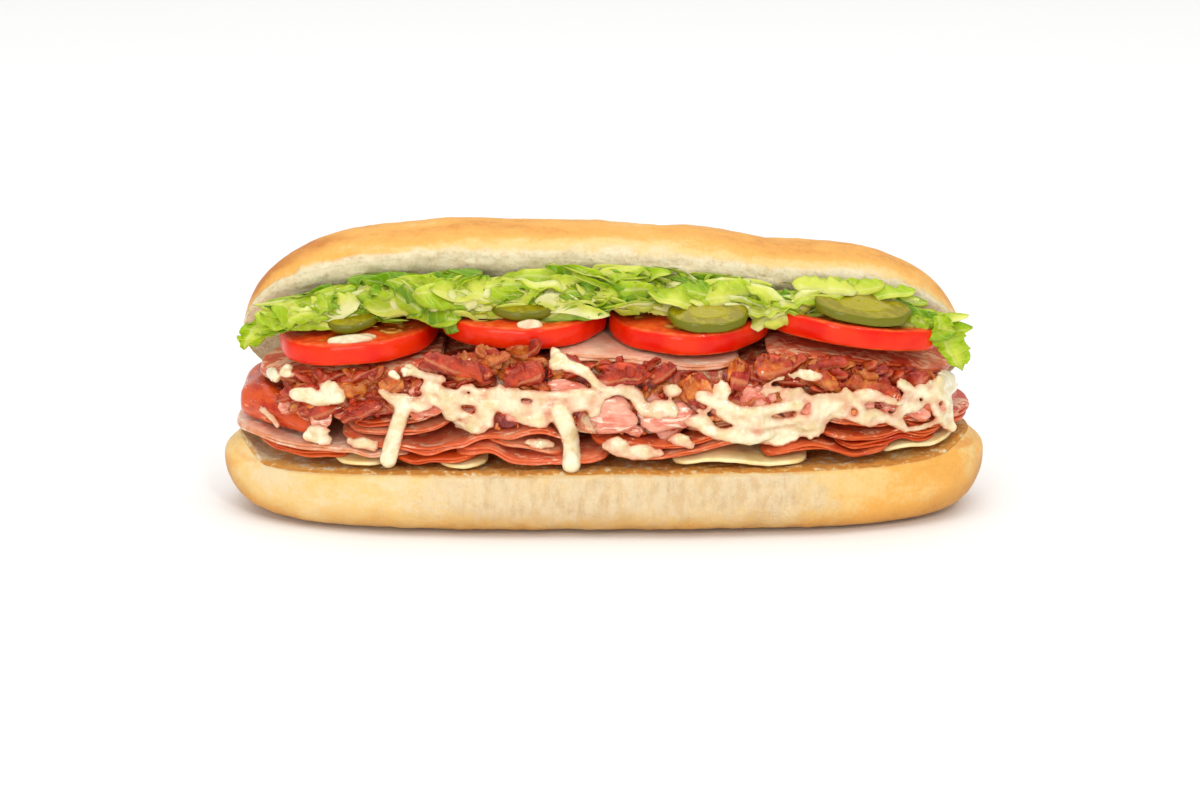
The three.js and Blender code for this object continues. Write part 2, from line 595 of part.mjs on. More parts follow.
function cheeseSection(x, floor) {
  const low = (y) => floor.at(x) + SHEET_GAP + SLOPE * (y - LOWER_PIVOT_Y);
  const high = (y) => Math.max(low(y) + 1, along(CHEESE_CEILING, x) + SLOPE * (y - UPPER_PIVOT_Y));
  const inset = along(CHEESE_FRONT, x);
  const foot = frontY(x, inset + 1);
  const brow = frontY(x, Math.max(inset + 4, 14.4));
  const lowBack = Math.max(brow + 1, Math.min(backY(x, 6), lidFaceY(x, low(20))));
  const highBack = Math.max(brow + 1, Math.min(backY(x, 6), lidFaceY(x, high(20))));
  const between = (t, push) => new THREE.Vector3(
    x, foot + (brow - foot) * t ** 1.5 - push, low(foot) + (high(brow) - low(foot)) * t);
  return [
    new THREE.Vector3(x, foot, low(foot)),
    between(0.3, 1 + 0.6 * ripple(x / 5, 1, 2)),
    between(0.55, 1.2 + 0.8 * ripple(x / 4, 2, 4)),
    between(0.8, 0.8 + 0.6 * ripple(x / 6, 3, 6)),
    new THREE.Vector3(x, brow, high(brow)),
    new THREE.Vector3(x, highBack, high(highBack)),
    new THREE.Vector3(x, lowBack, low(lowBack)),
  ];
}

// A drip: rings along a smooth path, swelling to a drop at its tip.
function makeDrip({ radius, path }) {
  const curve = new THREE.CatmullRomCurve3(path.map(([x, inset, z]) => new THREE.Vector3(x, frontY(x, inset), z)));
  const loops = spread(0, 1, 9).map((t) => {
    const middle = curve.getPointAt(t);
    const ahead = curve.getTangentAt(t);
    const across = new THREE.Vector3(1, 0, 0).addScaledVector(ahead, -ahead.x).normalize();
    const out = new THREE.Vector3().crossVectors(ahead, across);
    const size = radius * (t > 0.75 ? 1 + (DRIP_TIP_SWELL - 1) * Math.sin((t - 0.75) * 2 * Math.PI) : 1) * (t > 0.97 ? 0.7 : 1);
    return spread(0, 2 * Math.PI, DRIP_SIDES + 1).slice(1).map((angle) => middle.clone()
      .addScaledVector(across, size * Math.cos(angle))
      .addScaledVector(out, 0.85 * radius * Math.sin(angle)));
  });
  const tip = curve.getPointAt(1).addScaledVector(curve.getTangentAt(1), radius * 0.8);
  return solidFrom(loft(loops, curve.getPointAt(0), tip));
}

function makeCheese(floor, bites) {
  const [from, to] = CHEESE_SPAN;
  const stations = spread(from, to, 1 + (to - from) / STATION);
  const sections = stations.map((x) => cheeseSection(x, floor));
  const middle = (section) => section.reduce((sum, point) => sum.add(point), new THREE.Vector3())
    .divideScalar(section.length);
  const bed = solidFrom(loft(sections, middle(sections[0]), middle(sections[sections.length - 1])));
  return clearOf(CHEESE_DRIPS.reduce((cheese, drip) => cheese.add(makeDrip(drip)), bed), bites, 0.3);
}

// ---------------------------------------------------------------- lettuce

function lettuceSection(x) {
  const low = along(LETTUCE_UNDERSIDE, x);
  const high = Math.max(along(LETTUCE_CREST, x), low + 3);
  const wave = ripple(x / 9, 0, 8);
  const back = (z) => Math.min(lidFaceY(x, z), backY(x, 8));
  const front = along(LETTUCE_FRONT, x);
  const crestY = Math.max(front + 7, -19);
  const profile = [
    [front + 1 + wave, low],
    [front - 2 + wave, low + (high - low) * 0.3],
    [front + 0.5 - wave, low + (high - low) * 0.7],
    [crestY, high],
    [Math.max(back(high - 2), crestY + 2), high - 2],
    [back((low + high) / 2), (low + high) / 2],
    [back(low), low],
  ];
  return profile.map(([y, z]) => new THREE.Vector3(x, y, z));
}

// A bent strip of leaf lying over the front of the heap, its ends lifting off.
function makeShred(x, share, random) {
  const low = along(LETTUCE_UNDERSIDE, x);
  const high = along(LETTUCE_CREST, x);
  const length = 15 + 16 * random();
  const width = 1.4 + 1.3 * random();
  const turn = (random() - 0.5) * 1.3;
  const lift = 1.2 + 1.4 * random();
  const phase = random() * 6;
  const start = new THREE.Vector3(x, along(LETTUCE_FRONT, x) - 1 + 8 * share, low + 1 + (high - low) * share);
  const place = (t, side, out) => new THREE.Vector3(
    start.x + length * t * Math.cos(turn) - side * width * Math.sin(turn),
    start.y - lift * (0.4 + 2.4 * t * t) - out,
    start.z + length * t * Math.sin(turn) * 0.6 + side * width * Math.cos(turn) + Math.sin(t * 9 + phase));
  const steps = spread(-0.5, 0.5, 4);
  const face = (out) => steps.map((t) => [-1, 1].map((side) => place(t, side, out)));
  return solidFrom(slab(face(0), face(SHRED_THICK)));
}

function makeLettuce(neighbours) {
  const [from, to] = LETTUCE_SPAN;
  const sections = spread(from, to, 24).map(lettuceSection);
  const ends = [sections[0], sections[sections.length - 1]].map((section) => section[3].clone().lerp(section[6], 0.5));
  const random = randomFrom(SHRED_SEED);
  let heap = solidFrom(loft(sections, ...ends));
  for (let k = 0; k < SHRED_COUNT; k++) {
    const x = from + 10 + (to - from - 20) * (k + random()) / SHRED_COUNT;
    heap = heap.add(makeShred(x, 0.15 + 0.8 * ((k * 0.618) % 1), random));
  }
  return clearOf(heap, neighbours, 0.5);
}

// A loose frilled leaf hanging out at one end of the roll.
function makeLeaf(top, tip, width) {
  const rows = spread(0, 1, 9);
  const columns = spread(-1, 1, 4);
  const face = (out) => rows.map((t) => columns.map((side) => new THREE.Vector3()
    .lerpVectors(top, tip, t)
    .add(new THREE.Vector3(
      side * width * Math.sin(Math.PI * (0.15 + 0.8 * t)),
      1.6 * Math.sin(t * 14 + side * 2) * (0.4 + 0.6 * Math.abs(side)) - out,
      1.2 * Math.cos(t * 11 - side * 3) * Math.abs(side)))));
  return solidFrom(slab(face(0), face(0.9)));
}

const LEAVES = [
  { name: 'lettuce_leaf_1', top: new THREE.Vector3(-128, -25, 82), tip: new THREE.Vector3(-139, -22, 66), width: 6.5 },
  { name: 'lettuce_leaf_2', top: new THREE.Vector3(132.5, -23.5, 77), tip: new THREE.Vector3(138, -23, 60), width: 4.5 },
];

// ---------------------------------------------------------------- the sandwich

const sandwich = new THREE.Group();

function show(name, kind, solid) {
  const { numProp, vertProperties, triVerts } = solid.getMesh();
  const geometry = new THREE.BufferGeometry();
  const positions = new Float32Array(vertProperties.length / numProp * 3);
  for (let i = 0; i < positions.length; i++) positions[i] = vertProperties[Math.floor(i / 3) * numProp + i % 3];
  geometry.setAttribute('position', new THREE.BufferAttribute(positions, 3));
  geometry.setIndex(new THREE.BufferAttribute(new Uint32Array(triVerts), 1));
  geometry.computeVertexNormals();
  const mesh = new THREE.Mesh(geometry, new THREE.MeshStandardMaterial(LOOKS[kind]));
  mesh.name = name;
  sandwich.add(mesh);
}

const roll = makeRoll();
show('roll', 'bread', roll);

const lowerStack = new Terrain((x) => Math.max(...spread(-0.9, 0.9, 12).map((across) => cutHeight(x, across)
  - SLOPE * (BASE_CENTRE_Y + BASE_HALF_WIDTH * baseShare(x) * across - LOWER_PIVOT_Y))));
for (const sheet of LOWER_SHEETS) {
  const lowest = lowerStack.lay(sheet.from, sheet.to, sheet.edge, sheet.thick);
  show(sheet.name, sheet.kind, makeSheet(sheet, lowest, LOWER_PIVOT_Y));
}

const { name: foldName, kind: foldKind, from: foldFrom, to: foldTo, edge: foldEdge, crest, thick } = CAPICOLA_FOLD;
const foldLies = lowerStack.lay(foldFrom, foldTo, foldEdge, thick);
const foldTop = new Terrain((x) => Math.max(along(crest, x), foldLies.at(x) + 2.6 * thick));
show(foldName, foldKind, makeFold(CAPICOLA_FOLD, foldLies, foldTop));
const overFold = new Terrain((x) => {
  const covered = x > foldFrom - STATION && x < foldTo + STATION;
  return covered ? foldTop.at(x) : lowerStack.at(x);
});

const upperStack = new Terrain((x) => along(CHEESE_CEILING, x));
for (const sheet of UPPER_SHEETS) {
  const lowest = upperStack.lay(sheet.from, sheet.to, sheet.edge, sheet.thick);
  show(sheet.name, sheet.kind, makeSheet(sheet, lowest, UPPER_PIVOT_Y));
}

const bites = [];
BITES.forEach((bite, k) => {
  const solid = clearOf(makeBite(bite, BITE_SEED + k, (x) => overFold.at(x) + 2 * SHEET_GAP), bites, 0.3);
  bites.push(solid);
  show(bite[0], bite[0].startsWith('bacon') ? 'bacon' : 'ham', solid);
});
show('melted_cheese', 'cheese', makeCheese(overFold, bites));

const tomatoPlaces = TOMATOES.map((slice) => makeTomato(slice, upperStack));
const tomatoes = tomatoPlaces.map(makeDisc);
tomatoes.forEach((tomato, k) => show(`tomato_${k + 1}`, 'tomato', tomato));
const pickles = PICKLES.map((pickle) => makePickle(pickle, tomatoPlaces));
pickles.forEach((pickle, k) => show(`pickle_${k + 1}`, 'pickle', pickle));
const lettuce = makeLettuce([...tomatoes, ...pickles]);
show('lettuce', 'lettuce', lettuce);
for (const { name, top, tip, width } of LEAVES) {
  show(name, 'lettuce', clearOf(makeLeaf(top, tip, width), [lettuce], 0.5));
}

export default sandwich;
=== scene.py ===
"""A submarine sandwich: a soft long roll, hinged open at its back, packed with provolone, sliced
meats, crumbled bacon, melted cheese, tomato, pickle and shredded lettuce, on a pale table.

Shapes are worked out in millimetres as arrays of points, and turned into metres when the mesh is
made. X runs along the roll, Y from the open front to the hinge, Z up from the table.
"""

import json
import math

import bpy
import numpy as np
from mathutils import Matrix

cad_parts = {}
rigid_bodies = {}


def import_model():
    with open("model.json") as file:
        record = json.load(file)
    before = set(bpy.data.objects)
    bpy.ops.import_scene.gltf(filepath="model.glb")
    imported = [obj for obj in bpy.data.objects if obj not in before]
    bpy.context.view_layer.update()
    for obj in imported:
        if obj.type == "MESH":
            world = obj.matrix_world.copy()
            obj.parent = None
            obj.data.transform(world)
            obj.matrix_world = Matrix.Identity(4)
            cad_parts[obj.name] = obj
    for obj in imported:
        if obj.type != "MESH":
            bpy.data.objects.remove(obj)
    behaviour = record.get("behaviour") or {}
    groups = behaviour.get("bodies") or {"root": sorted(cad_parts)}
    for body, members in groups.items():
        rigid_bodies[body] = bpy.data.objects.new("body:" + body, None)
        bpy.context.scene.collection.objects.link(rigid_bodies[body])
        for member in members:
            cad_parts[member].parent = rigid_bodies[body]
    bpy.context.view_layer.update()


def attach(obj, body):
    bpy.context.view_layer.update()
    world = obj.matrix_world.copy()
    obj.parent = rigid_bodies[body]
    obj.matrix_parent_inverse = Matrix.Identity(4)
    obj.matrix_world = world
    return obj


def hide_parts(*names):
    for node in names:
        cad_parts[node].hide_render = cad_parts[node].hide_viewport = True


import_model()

MILLIMETRE = 0.001

# ------------------------------------------------------------------ the roll

# The lower half: its outline, belly and tips, and the heights of its rims as (x, z) pairs.
BASE_HALF_LENGTH = 150.0
BASE_HALF_WIDTH = 48.0
BASE_CENTRE_Y = -6.0
BASE_TAPER = 3.2
BASE_BELLY = 1.03
BASE_BELLY_HEIGHT = 0.46
BASE_SQUARENESS = 4.0
BASE_TIP_LIFT = 22.0
BASE_TIP_SHARPNESS = 12.0
BASE_FLATNESS = 1.04
BASE_SAG = 3.5
BASE_FRONT_RIM = [(-150, 26.5), (-142, 23), (-117, 23.6), (-78, 25.4), (0, 26.4), (113, 27), (150, 29)]
BASE_BACK_RIM = [(-150, 34), (-132, 34), (-100, 30.5), (0, 29.6), (100, 31), (132, 34.6), (150, 35)]

# The lid: its outline, dome and torn hollow, how far it stands open, and how it rises and falls along X.
LID_HALF_LENGTH = 143.5
LID_HALF_WIDTH = 47.0
LID_TAPER = 4.6
LID_RISE = 41.0
LID_ROUNDNESS = 2.4
LID_HOLLOW = 12.0
LID_OPENING = math.radians(54)
LID_SPINE = [(-143, 0), (-35, 0), (0, -1), (40, -4), (64, -7.5), (95, -6.2), (119, -6), (143, -7)]
# The hinge line, its distance from the middle of the lid's cut face, and the room that fillings leave
# under that face.
HINGE_Y = 34.6
HINGE_Z = 32.0
HINGE_REACH = 39.0
CLEAR_OF_LID = 1.4

# Points along and around each half, and how many times its edges are smoothed.
ROLL_STATIONS = 346
ROLL_AROUND = 236
BASE_ROUNDING = 26
LID_ROUNDING = 44
# Stretches along X, measured from the middle: where the rims come level, where their edge draws in by
# TIP_PULL, and where the torn band of the front begins and ends.
RIMS_LEVEL_OVER = (134, 149)
TIP_PULLED_OVER = (120, 150)
TIP_PULL = 7.0
TORN_FROM = (-96, -44)
TORN_TO = (66, 110)

# ------------------------------------------------------------------ the filling

# Heights of a pile are kept at stations along X, this far apart and this many to each side.
STATION = 6.0
STATIONS_ASIDE = 25
# Sheets lie a gap apart, and rise by the slope from the line at their pile's pivot Y.
SHEET_GAP = 0.5
CORNER_RADIUS = 9.0
SLOPE = 0.06
LOWER_PIVOT_Y = -50.0
UPPER_PIVOT_Y = -40.0

# Bottom sheet first: name, kind, from, to, inset behind the rim, thickness, height of the front edge.
LOWER_SHEETS = [
    ("provolone_1", "provolone", -104, -83, 3.5, 1.6, [(-104, 26), (-86, 26.5)]),
    ("provolone_2", "provolone", -64, -44, 3.4, 1.6, [(-64, 26.6), (-44, 26.6)]),
    ("provolone_3", "provolone", 26, 78, 3.6, 1.7,
     [(26, 27.4), (40, 30), (48, 29.4), (60, 27.8), (78, 27.6)]),
    ("provolone_4", "provolone", 106, 137, 4, 1.7,
     [(106, 27.6), (114, 31), (118, 31), (123, 28.8), (128, 28.8), (133, 30.4), (137, 29.6)]),
    ("salami_1", "salami", -135, -97, 4, 2, [(-135, 30), (-126, 25), (-114, 25), (-104, 27), (-97, 29)]),
    ("capicola_1", "capicola", -83, -46, 3.8, 1.9, [(-83, 26.5), (-65, 27), (-55, 29), (-46, 30.6)]),
    ("salami_2", "salami", 60, 112, 4, 1.8,
     [(60, 30.6), (71, 32.6), (79, 33.8), (86, 32.4), (94, 28.6), (103, 27), (112, 29)]),
    ("ham_1", "ham", -57, 2, 4, 2.4, [(-57, 31), (-40, 29), (-29, 28.2), (-16, 28.6), (2, 30)]),
    ("ham_2", "ham", -2, 64, 4, 2, [(-2, 29), (11, 29.4), (23, 30.4), (36, 33), (50, 36.6), (64, 40.6)]),
    ("ham_3", "ham", -145, -74, 3.4, 2,
     [(-145, 31.4), (-138, 30.4), (-132, 30.8), (-117, 30.6), (-101, 29.4), (-74, 28.8)]),
    ("ham_4", "ham", -46, -13, 5, 1.8, [(-46, 33.4), (-36, 34.4), (-29, 34.4), (-22, 32), (-13, 31)]),
    ("salami_3", "salami", -5, 62, 5, 2,
     [(-5, 35.6), (17, 34.2), (29, 34.6), (40, 37.6), (50, 41), (62, 43.4)]),
    ("capicola_2", "capicola", 88, 129, 5, 1.7, [(88, 33.6), (100, 31), (112, 32), (129, 31.6)]),
    ("salami_4", "salami", 82, 133, 5.5, 1.8, [(82, 36.4), (100, 34.6), (119, 34), (133, 32.6)]),
    ("ham_5", "ham", -101, -12, 4.4, 2,
     [(-101, 36.4), (-78, 30.4), (-63, 29.6), (-49, 32), (-40, 35.4), (-32, 39.6), (-24, 41.4), (-18, 39.4),
      (-12, 36)]),
    ("capicola_3", "capicola", 112, 143, 6, 1.7, [(112, 36.4), (124, 35.6), (134, 33.4), (143, 35)]),
    ("ham_6", "ham", 30, 74, 7.5, 2, [(30, 40), (46, 42.4), (60, 42.6), (74, 38)]),
    ("ham_7", "ham", 84, 144, 7, 2,
     [(84, 42), (99, 40.6), (111, 39), (123, 37), (130, 36), (138, 36), (144, 37.6)]),
    ("ham_8", "ham", -99, -57, 7, 1.8, [(-99, 37), (-79, 38.4), (-70, 38.4), (-62, 40.8), (-57, 44.6)]),
    ("ham_9", "ham", -98, -60, 8, 1.8, [(-98, 38.6), (-79, 42.6), (-72, 43), (-66, 45.4), (-60, 50.4)]),
]
# The folded slice: its stretch and size, then the heights of its underside and of its crest.
FOLD_FROM, FOLD_TO, FOLD_INSET, FOLD_THICK, FOLD_DEPTH = -142.0, -112.0, 8.0, 2.2, 34.0
FOLD_EDGE = [(-142, 37), (-137, 34.4), (-128, 34), (-112, 34.6)]
FOLD_CREST = [(-142, 44), (-136, 51), (-128, 50), (-120, 43.5), (-112, 40)]
UPPER_SHEETS = [
    ("capicola_4", "capicola", 74, 132, 13, 1.8,
     [(74, 63.4), (88, 62), (102, 59.6), (117, 56.4), (132, 52.4)]),
    ("ham_10", "ham", -135, -62, 13.4, 3.2,
     [(-135, 51.6), (-120, 55.4), (-101, 57), (-86, 58.4), (-72, 60), (-62, 61.4)]),
    ("ham_11", "ham", -20, 52, 13.6, 1.9, [(-20, 67.4), (-4, 67.4), (14, 65.4), (33, 63), (52, 63.6)]),
    ("ham_12", "ham", 62, 136, 13.8, 1.9,
     [(62, 66.4), (74, 66), (86, 64.4), (96, 62.9), (114, 59.6), (126, 56.6), (136, 52.6)]),
]
# The filling between both piles: height of its brow, and how far its foot lies behind the front rim.
CHEESE_CEILING = [(-132, 51.6), (-120, 54.8), (-101, 56), (-80, 57.8), (-62, 61.4), (-32, 65.6), (-4, 65.4),
                  (20, 62.6), (52, 61.4), (66, 63.2), (88, 60.2), (102, 57.8), (117, 54.6), (132, 50.4),
                  (140, 47)]
CHEESE_FRONT = [(-132, 12), (-108, 9), (-92, 12), (-74, 11), (-58, 8), (-42, 7.6), (-28, 10), (-4, 9),
                (20, 12), (38, 9), (52, 7.4), (70, 7.2), (84, 10), (100, 8), (114, 9), (126, 7.4), (140, 9)]
BED_FROM, BED_TO = -126.0, 138.0

# Tomato slices: middle along X, half length, half depth, height of the front edge, slope, lean.
TOMATOES = [
    (-95.6, 30.9, 27, 63.8, 0.055, 0.075),
    (-31.7, 32.4, 28, 69.8, 0.08, 0.0),
    (32.7, 30.9, 25, 67.2, 0.16, 0.0),
    (96.6, 32.4, 24, 65.4, -0.05, -0.13),
]
TOMATO_FRONT_Y = -38.0
TOMATO_THICK = 8.4
TOMATO_EDGE = 1.8
TOMATO_SIDES = 230
# Pickle slices: x, y, half length, half depth, backward tip, each on the tomato of the same number.
PICKLES = [(-98, -16.5, 11.8, 9.4, 0.42), (-31, -20, 14, 10.5, 0.3), (39.8, -28.8, 15.4, 8.8, 0.22),
           (99, -26.6, 18.6, 10, 0.32)]
PICKLE_THICK = 3.4
PICKLE_EDGE = 0.9
PICKLE_SIDES = 130

# The lettuce heap: heights of its underside and crest, and Y of its front, along X.
LETTUCE_UNDERSIDE = [(-128, 75), (-95, 76.6), (-60, 80), (0, 81), (60, 80.4), (95, 80), (132, 70)]
LETTUCE_CREST = [(-128, 80), (-116, 83), (-95, 89.5), (-70, 93.6), (-40, 93.4), (-13, 95.6), (17, 94.6),
                 (40, 91.5), (59, 89), (97, 85), (120, 80), (132, 74)]
LETTUCE_FRONT = [(-128, -27), (-116, -21), (-96, -17), (-76, -20), (-62, -26), (-32, -22), (0, -27),
                 (14, -22), (34, -18), (56, -22), (66, -26), (84, -20), (108, -18), (127, -25)]
LETTUCE_FROM, LETTUCE_TO = -125.0, 127.0

# Bacon and ham pieces on the front slope: x, z, length, height, turn in degrees, squareness.
BITES = [
    ("bacon_1", -114, 52.6, 24, 5.6, 6, 2), ("bacon_2", -97, 54.4, 14, 6.6, -10, 2),
    ("bacon_3", -109, 45, 17, 8.4, 10, 2.4), ("bacon_4", -91, 47.6, 21, 6.4, 10, 2),
    ("bacon_5", -81, 57.2, 10, 8, 30, 2), ("bacon_6", -54, 64.4, 24, 8.6, -8, 2),
    ("bacon_7", -30, 62.4, 19, 9.6, 10, 2), ("bacon_8", -17, 45.6, 15, 5.4, -14, 2),
    ("bacon_9", 8, 63.4, 22, 8, -4, 2), ("bacon_10", 34, 57.4, 13, 11, 35, 2),
    ("bacon_11", 64, 64.8, 17, 9.6, 16, 2), ("bacon_12", 50.4, 61.4, 9, 13, -12, 2),
    ("bacon_13", 83.6, 59.6, 11, 7.6, -24, 2.4), ("bacon_14", 101, 55.4, 26, 7.4, -8, 2),
    ("bacon_15", 123, 51, 14, 6, -14, 2), ("ham_bite_1", -32, 48.6, 11.4, 8.4, 6, 4),
    ("ham_bite_2", -12.6, 55.2, 17, 8.6, -20, 3), ("ham_bite_3", 2.8, 45.6, 16, 13.6, 12, 4),
    ("ham_bite_4", 23.4, 46.2, 20, 11, 8, 3), ("ham_bite_5", 57, 49.4, 12.4, 9.6, -10, 4),
    ("ham_bite_6", 90, 49.6, 9, 7, 14, 3), ("ham_bite_7", 110, 46.4, 9, 7, -20, 3),
]
BITE_INSET = 9.0
BITE_DEPTH = 6.8
BITE_SEED = 7

# Strands of melted cheese over the front: half thickness, then (x, z).
STRANDS = [
    (2.4, [(-118, 52.6), (-109.5, 51.1), (-101, 52.4)]),
    (1.5, [(-132.4, 43.2), (-129, 41), (-126.5, 38)]),
    (1.9, [(-113.1, 35.4), (-106, 34.7)]),
    (1.6, [(-97.4, 35.3), (-92, 34), (-87.7, 33.5)]),
    (1.7, [(-84.5, 55.5), (-80, 51.4), (-76.4, 49.3)]),
    (1.7, [(-66, 54.6), (-71, 50.8), (-76, 49)]),
    (2.9, [(-76.2, 49.4), (-77.5, 45.5), (-79.3, 41), (-80.5, 36), (-81.8, 31.5), (-82.4, 28.6)]),
    (2, [(-67, 58.5), (-60, 55.4), (-54, 53.6), (-46, 52.4), (-40, 51.4)]),
    (1.9, [(-66, 53.2), (-60, 50), (-54, 47.4), (-48, 45), (-43.4, 44)]),
    (1.8, [(-39.5, 57.8), (-32, 55.6), (-24, 54.7), (-14, 55.6), (-2.4, 56.3)]),
    (1.7, [(-37.6, 51.6), (-31, 50), (-24.4, 49.2), (-17, 51.4)]),
    (1.7, [(-3, 48.4), (-1.4, 54), (1.6, 57.6), (6, 58.6), (10.6, 57.4), (13.4, 54), (15.1, 48.4)]),
    (3, [(-17, 49), (-15, 44.6), (-13.6, 40.6), (-12.8, 36), (-12.6, 31), (-12.4, 28.2)]),
    (1.5, [(-29, 36.6), (-24, 35.6), (-20.6, 35)]),
    (1.6, [(0, 35), (5, 32.8), (10.6, 31.4), (16, 31.6), (21.3, 32.8)]),
    (1.4, [(25.8, 37.3), (29.6, 36), (33.4, 35.6)]),
    (2.3, [(36.3, 55), (44, 51.4), (51.6, 48.9), (62, 49), (73.7, 50.4)]),
    (2.2, [(38.3, 42), (46, 39.4), (55.5, 38), (64, 38.6), (72.7, 40)]),
    (2, [(44, 48.2), (51, 45), (59.3, 43), (67, 43.2), (74.6, 44.6)]),
    (1.5, [(71.3, 55.6), (78, 52.6), (86, 51.1), (96, 51.8), (105.4, 52.3), (115.4, 49.4)]),
    (1.6, [(74.6, 44.4), (82, 46.4), (90, 46.6), (96, 43.6), (101.7, 41.8), (107, 43), (113.5, 44)]),
    (1.4, [(86, 51.1), (88.6, 48.8), (90.6, 46)]),
    (1.8, [(113.1, 57.1), (119, 53), (125.4, 50.2), (131, 50), (135.9, 50.4)]),
    (1.4, [(115.7, 38.2), (121, 38), (127.9, 39.4), (133, 42.6)]),
    (1.7, [(132.4, 47), (133.4, 43.4), (134.2, 39), (134.8, 35.6)]),
    (2, [(-18.2, 69.2), (-14.5, 66.1), (-6.9, 63.3), (-0.5, 58.2), (5.6, 57.4)]),
    (1.8, [(-4.3, 47.6), (-2.4, 54.3), (5.6, 57.4), (11.3, 54.3), (14.4, 48.7), (20.8, 47.6)]),
    (1.9, [(91.7, 55.1), (98, 48.3), (99.2, 43.6), (102.6, 46.4), (114.6, 40)]),
    (1.8, [(125.2, 51.1), (128.1, 43.6), (132.6, 36.8)]),
    (1.6, [(-80, 62.5), (-70, 61.8), (-61.1, 61)]),
]
# Pools of melted cheese: x, z, half length, half height.
POOLS = [
    (-104, 55.2, 6, 3), (-113, 52.8, 4, 2.6), (-122, 59, 3.4, 1.3), (-128, 56.4, 3, 1.6),
    (-110, 38.4, 4.6, 2.2), (-91, 34.8, 5.7, 2.1), (-78, 52.7, 5.3, 2.6), (-70, 50, 4.6, 2.3),
    (-65, 57.1, 5, 2.2), (-58, 54.3, 5.4, 3.2), (-49, 56.6, 8.4, 2.8), (-45, 48.7, 3.6, 6.8),
    (-58, 49.5, 3.6, 6.1), (-51, 42.3, 7.8, 3), (-31, 51.9, 12.4, 5), (-26, 45.6, 6.8, 3.2),
    (-38, 55.6, 7.6, 2.6), (-9, 52.3, 6, 4.4), (26, 56.4, 3.4, 2.4), (28, 49.5, 13.7, 3.2),
    (36, 44.8, 6.1, 3), (-24, 35.7, 4.2, 1.9), (5, 35.7, 4.6, 2.8), (14, 33.6, 5.3, 2.2),
    (29, 38, 4.6, 1.8), (69, 57.1, 9.4, 5.4), (85, 48.7, 10.4, 6.2), (79, 40.6, 5.6, 3.8),
    (70, 36.4, 12.9, 2.8), (77, 62, 5.3, 1.9), (124, 51.9, 11.4, 4.8), (117, 47.2, 6.1, 3.2),
    (131, 54, 6, 3), (100, 54, 5.3, 2.3), (-18, 67, 3, 2.8), (44, 57, 3.8, 3.6), (56, 45, 9, 3.4),
    (50, 40.5, 7, 2.6),
]
# Round ends of the drips: x, z, half size.
DRIP_ENDS = [(-82.4, 29.6, 3.6), (-12.6, 28.6, 3.7), (134.8, 36, 2.4), (-114, 35.8, 2.2)]


# ------------------------------------------------------------------ numbers and noise

def along(pairs, x):
    """Value at x of the line through (x, value) pairs, held level past its ends."""
    table = np.array(pairs, float)
    return np.interp(x, table[:, 0], table[:, 1])


def signed_power(value, power):
    """The value's size raised to a power, with the value's own sign."""
    return np.sign(value) * np.abs(value) ** power


def fade(value, low, high):
    """Smooth step from 0 at low to 1 at high."""
    share = np.clip((value - low) / (high - low), 0, 1)
    return share * share * (3 - 2 * share)


def corner_value(cells, seed):
    """Repeatable random value from -1 to 1 for whole-number corners, mixed from their three numbers."""
    x, y, z = (cells[..., k].astype(np.int64) for k in range(3))
    mixed = (x * 73856093) ^ (y * 19349663) ^ (z * 83492791) ^ (seed * 2654435)
    mixed = (mixed ^ (mixed >> 13)) & 0xFFFFFFFF
    mixed = (mixed * 1274126177) & 0xFFFFFFFF
    mixed = (mixed ^ (mixed >> 16)) & 0xFFFF
    return mixed / 32767.5 - 1


def noise(points, size, seed=0):
    """Value noise from -1 to 1: random values on a cubic grid `size` apart, blended smoothly between."""
    place = np.asarray(points, float) / size + 100.37
    cell = np.floor(place)
    part = place - cell
    part = part * part * part * (part * (part * 6 - 15) + 10)
    total = 0
    for corner in range(8):
        step = np.array([corner & 1, (corner >> 1) & 1, corner >> 2])
        weight = np.prod(np.where(step == 1, part, 1 - part), axis=-1)
        total = total + weight * corner_value(cell + step, seed)
    return total


def cloud(points, size, seed=0, octaves=3):
    """Noise added to itself at half the size and half the strength, several times."""
    return sum(noise(points, size / 2 ** k, seed + 17 * k) / 2 ** k for k in range(octaves))


def line_noise(x, size, seed=0):
    """Noise along one number."""
    x = np.asarray(x, float)
    return noise(np.stack([x, 0 * x + 3.3 * seed, 0 * x], -1), size, seed)


def held_above(value, limit, give):
    """The value, but below the limit only a share of the way that it goes past it."""
    return np.where(value < limit, limit + give * (value - limit), value)


def held_below(value, limit, give):
    """The value, but above the limit only a share of the way that it goes past it."""
    return np.where(value > limit, limit + give * (value - limit), value)


def picker(draw, count):
    """A function that draws one random number for every body, shaped to spread over the body's points."""
    return lambda low, high: draw.uniform(low, high, count)[:, None, None]


def ripple(a, b, seed):
    """A slow, repeatable unevenness between -1 and 1: two crossing waves averaged."""
    crossed = np.sin(a * 1.7 + seed * 2.1) * np.cos(b * 2.3 - seed)
    return (crossed + np.sin(a * 0.6 - b * 1.1 + seed * 0.7)) / 2


# ------------------------------------------------------------------ meshes

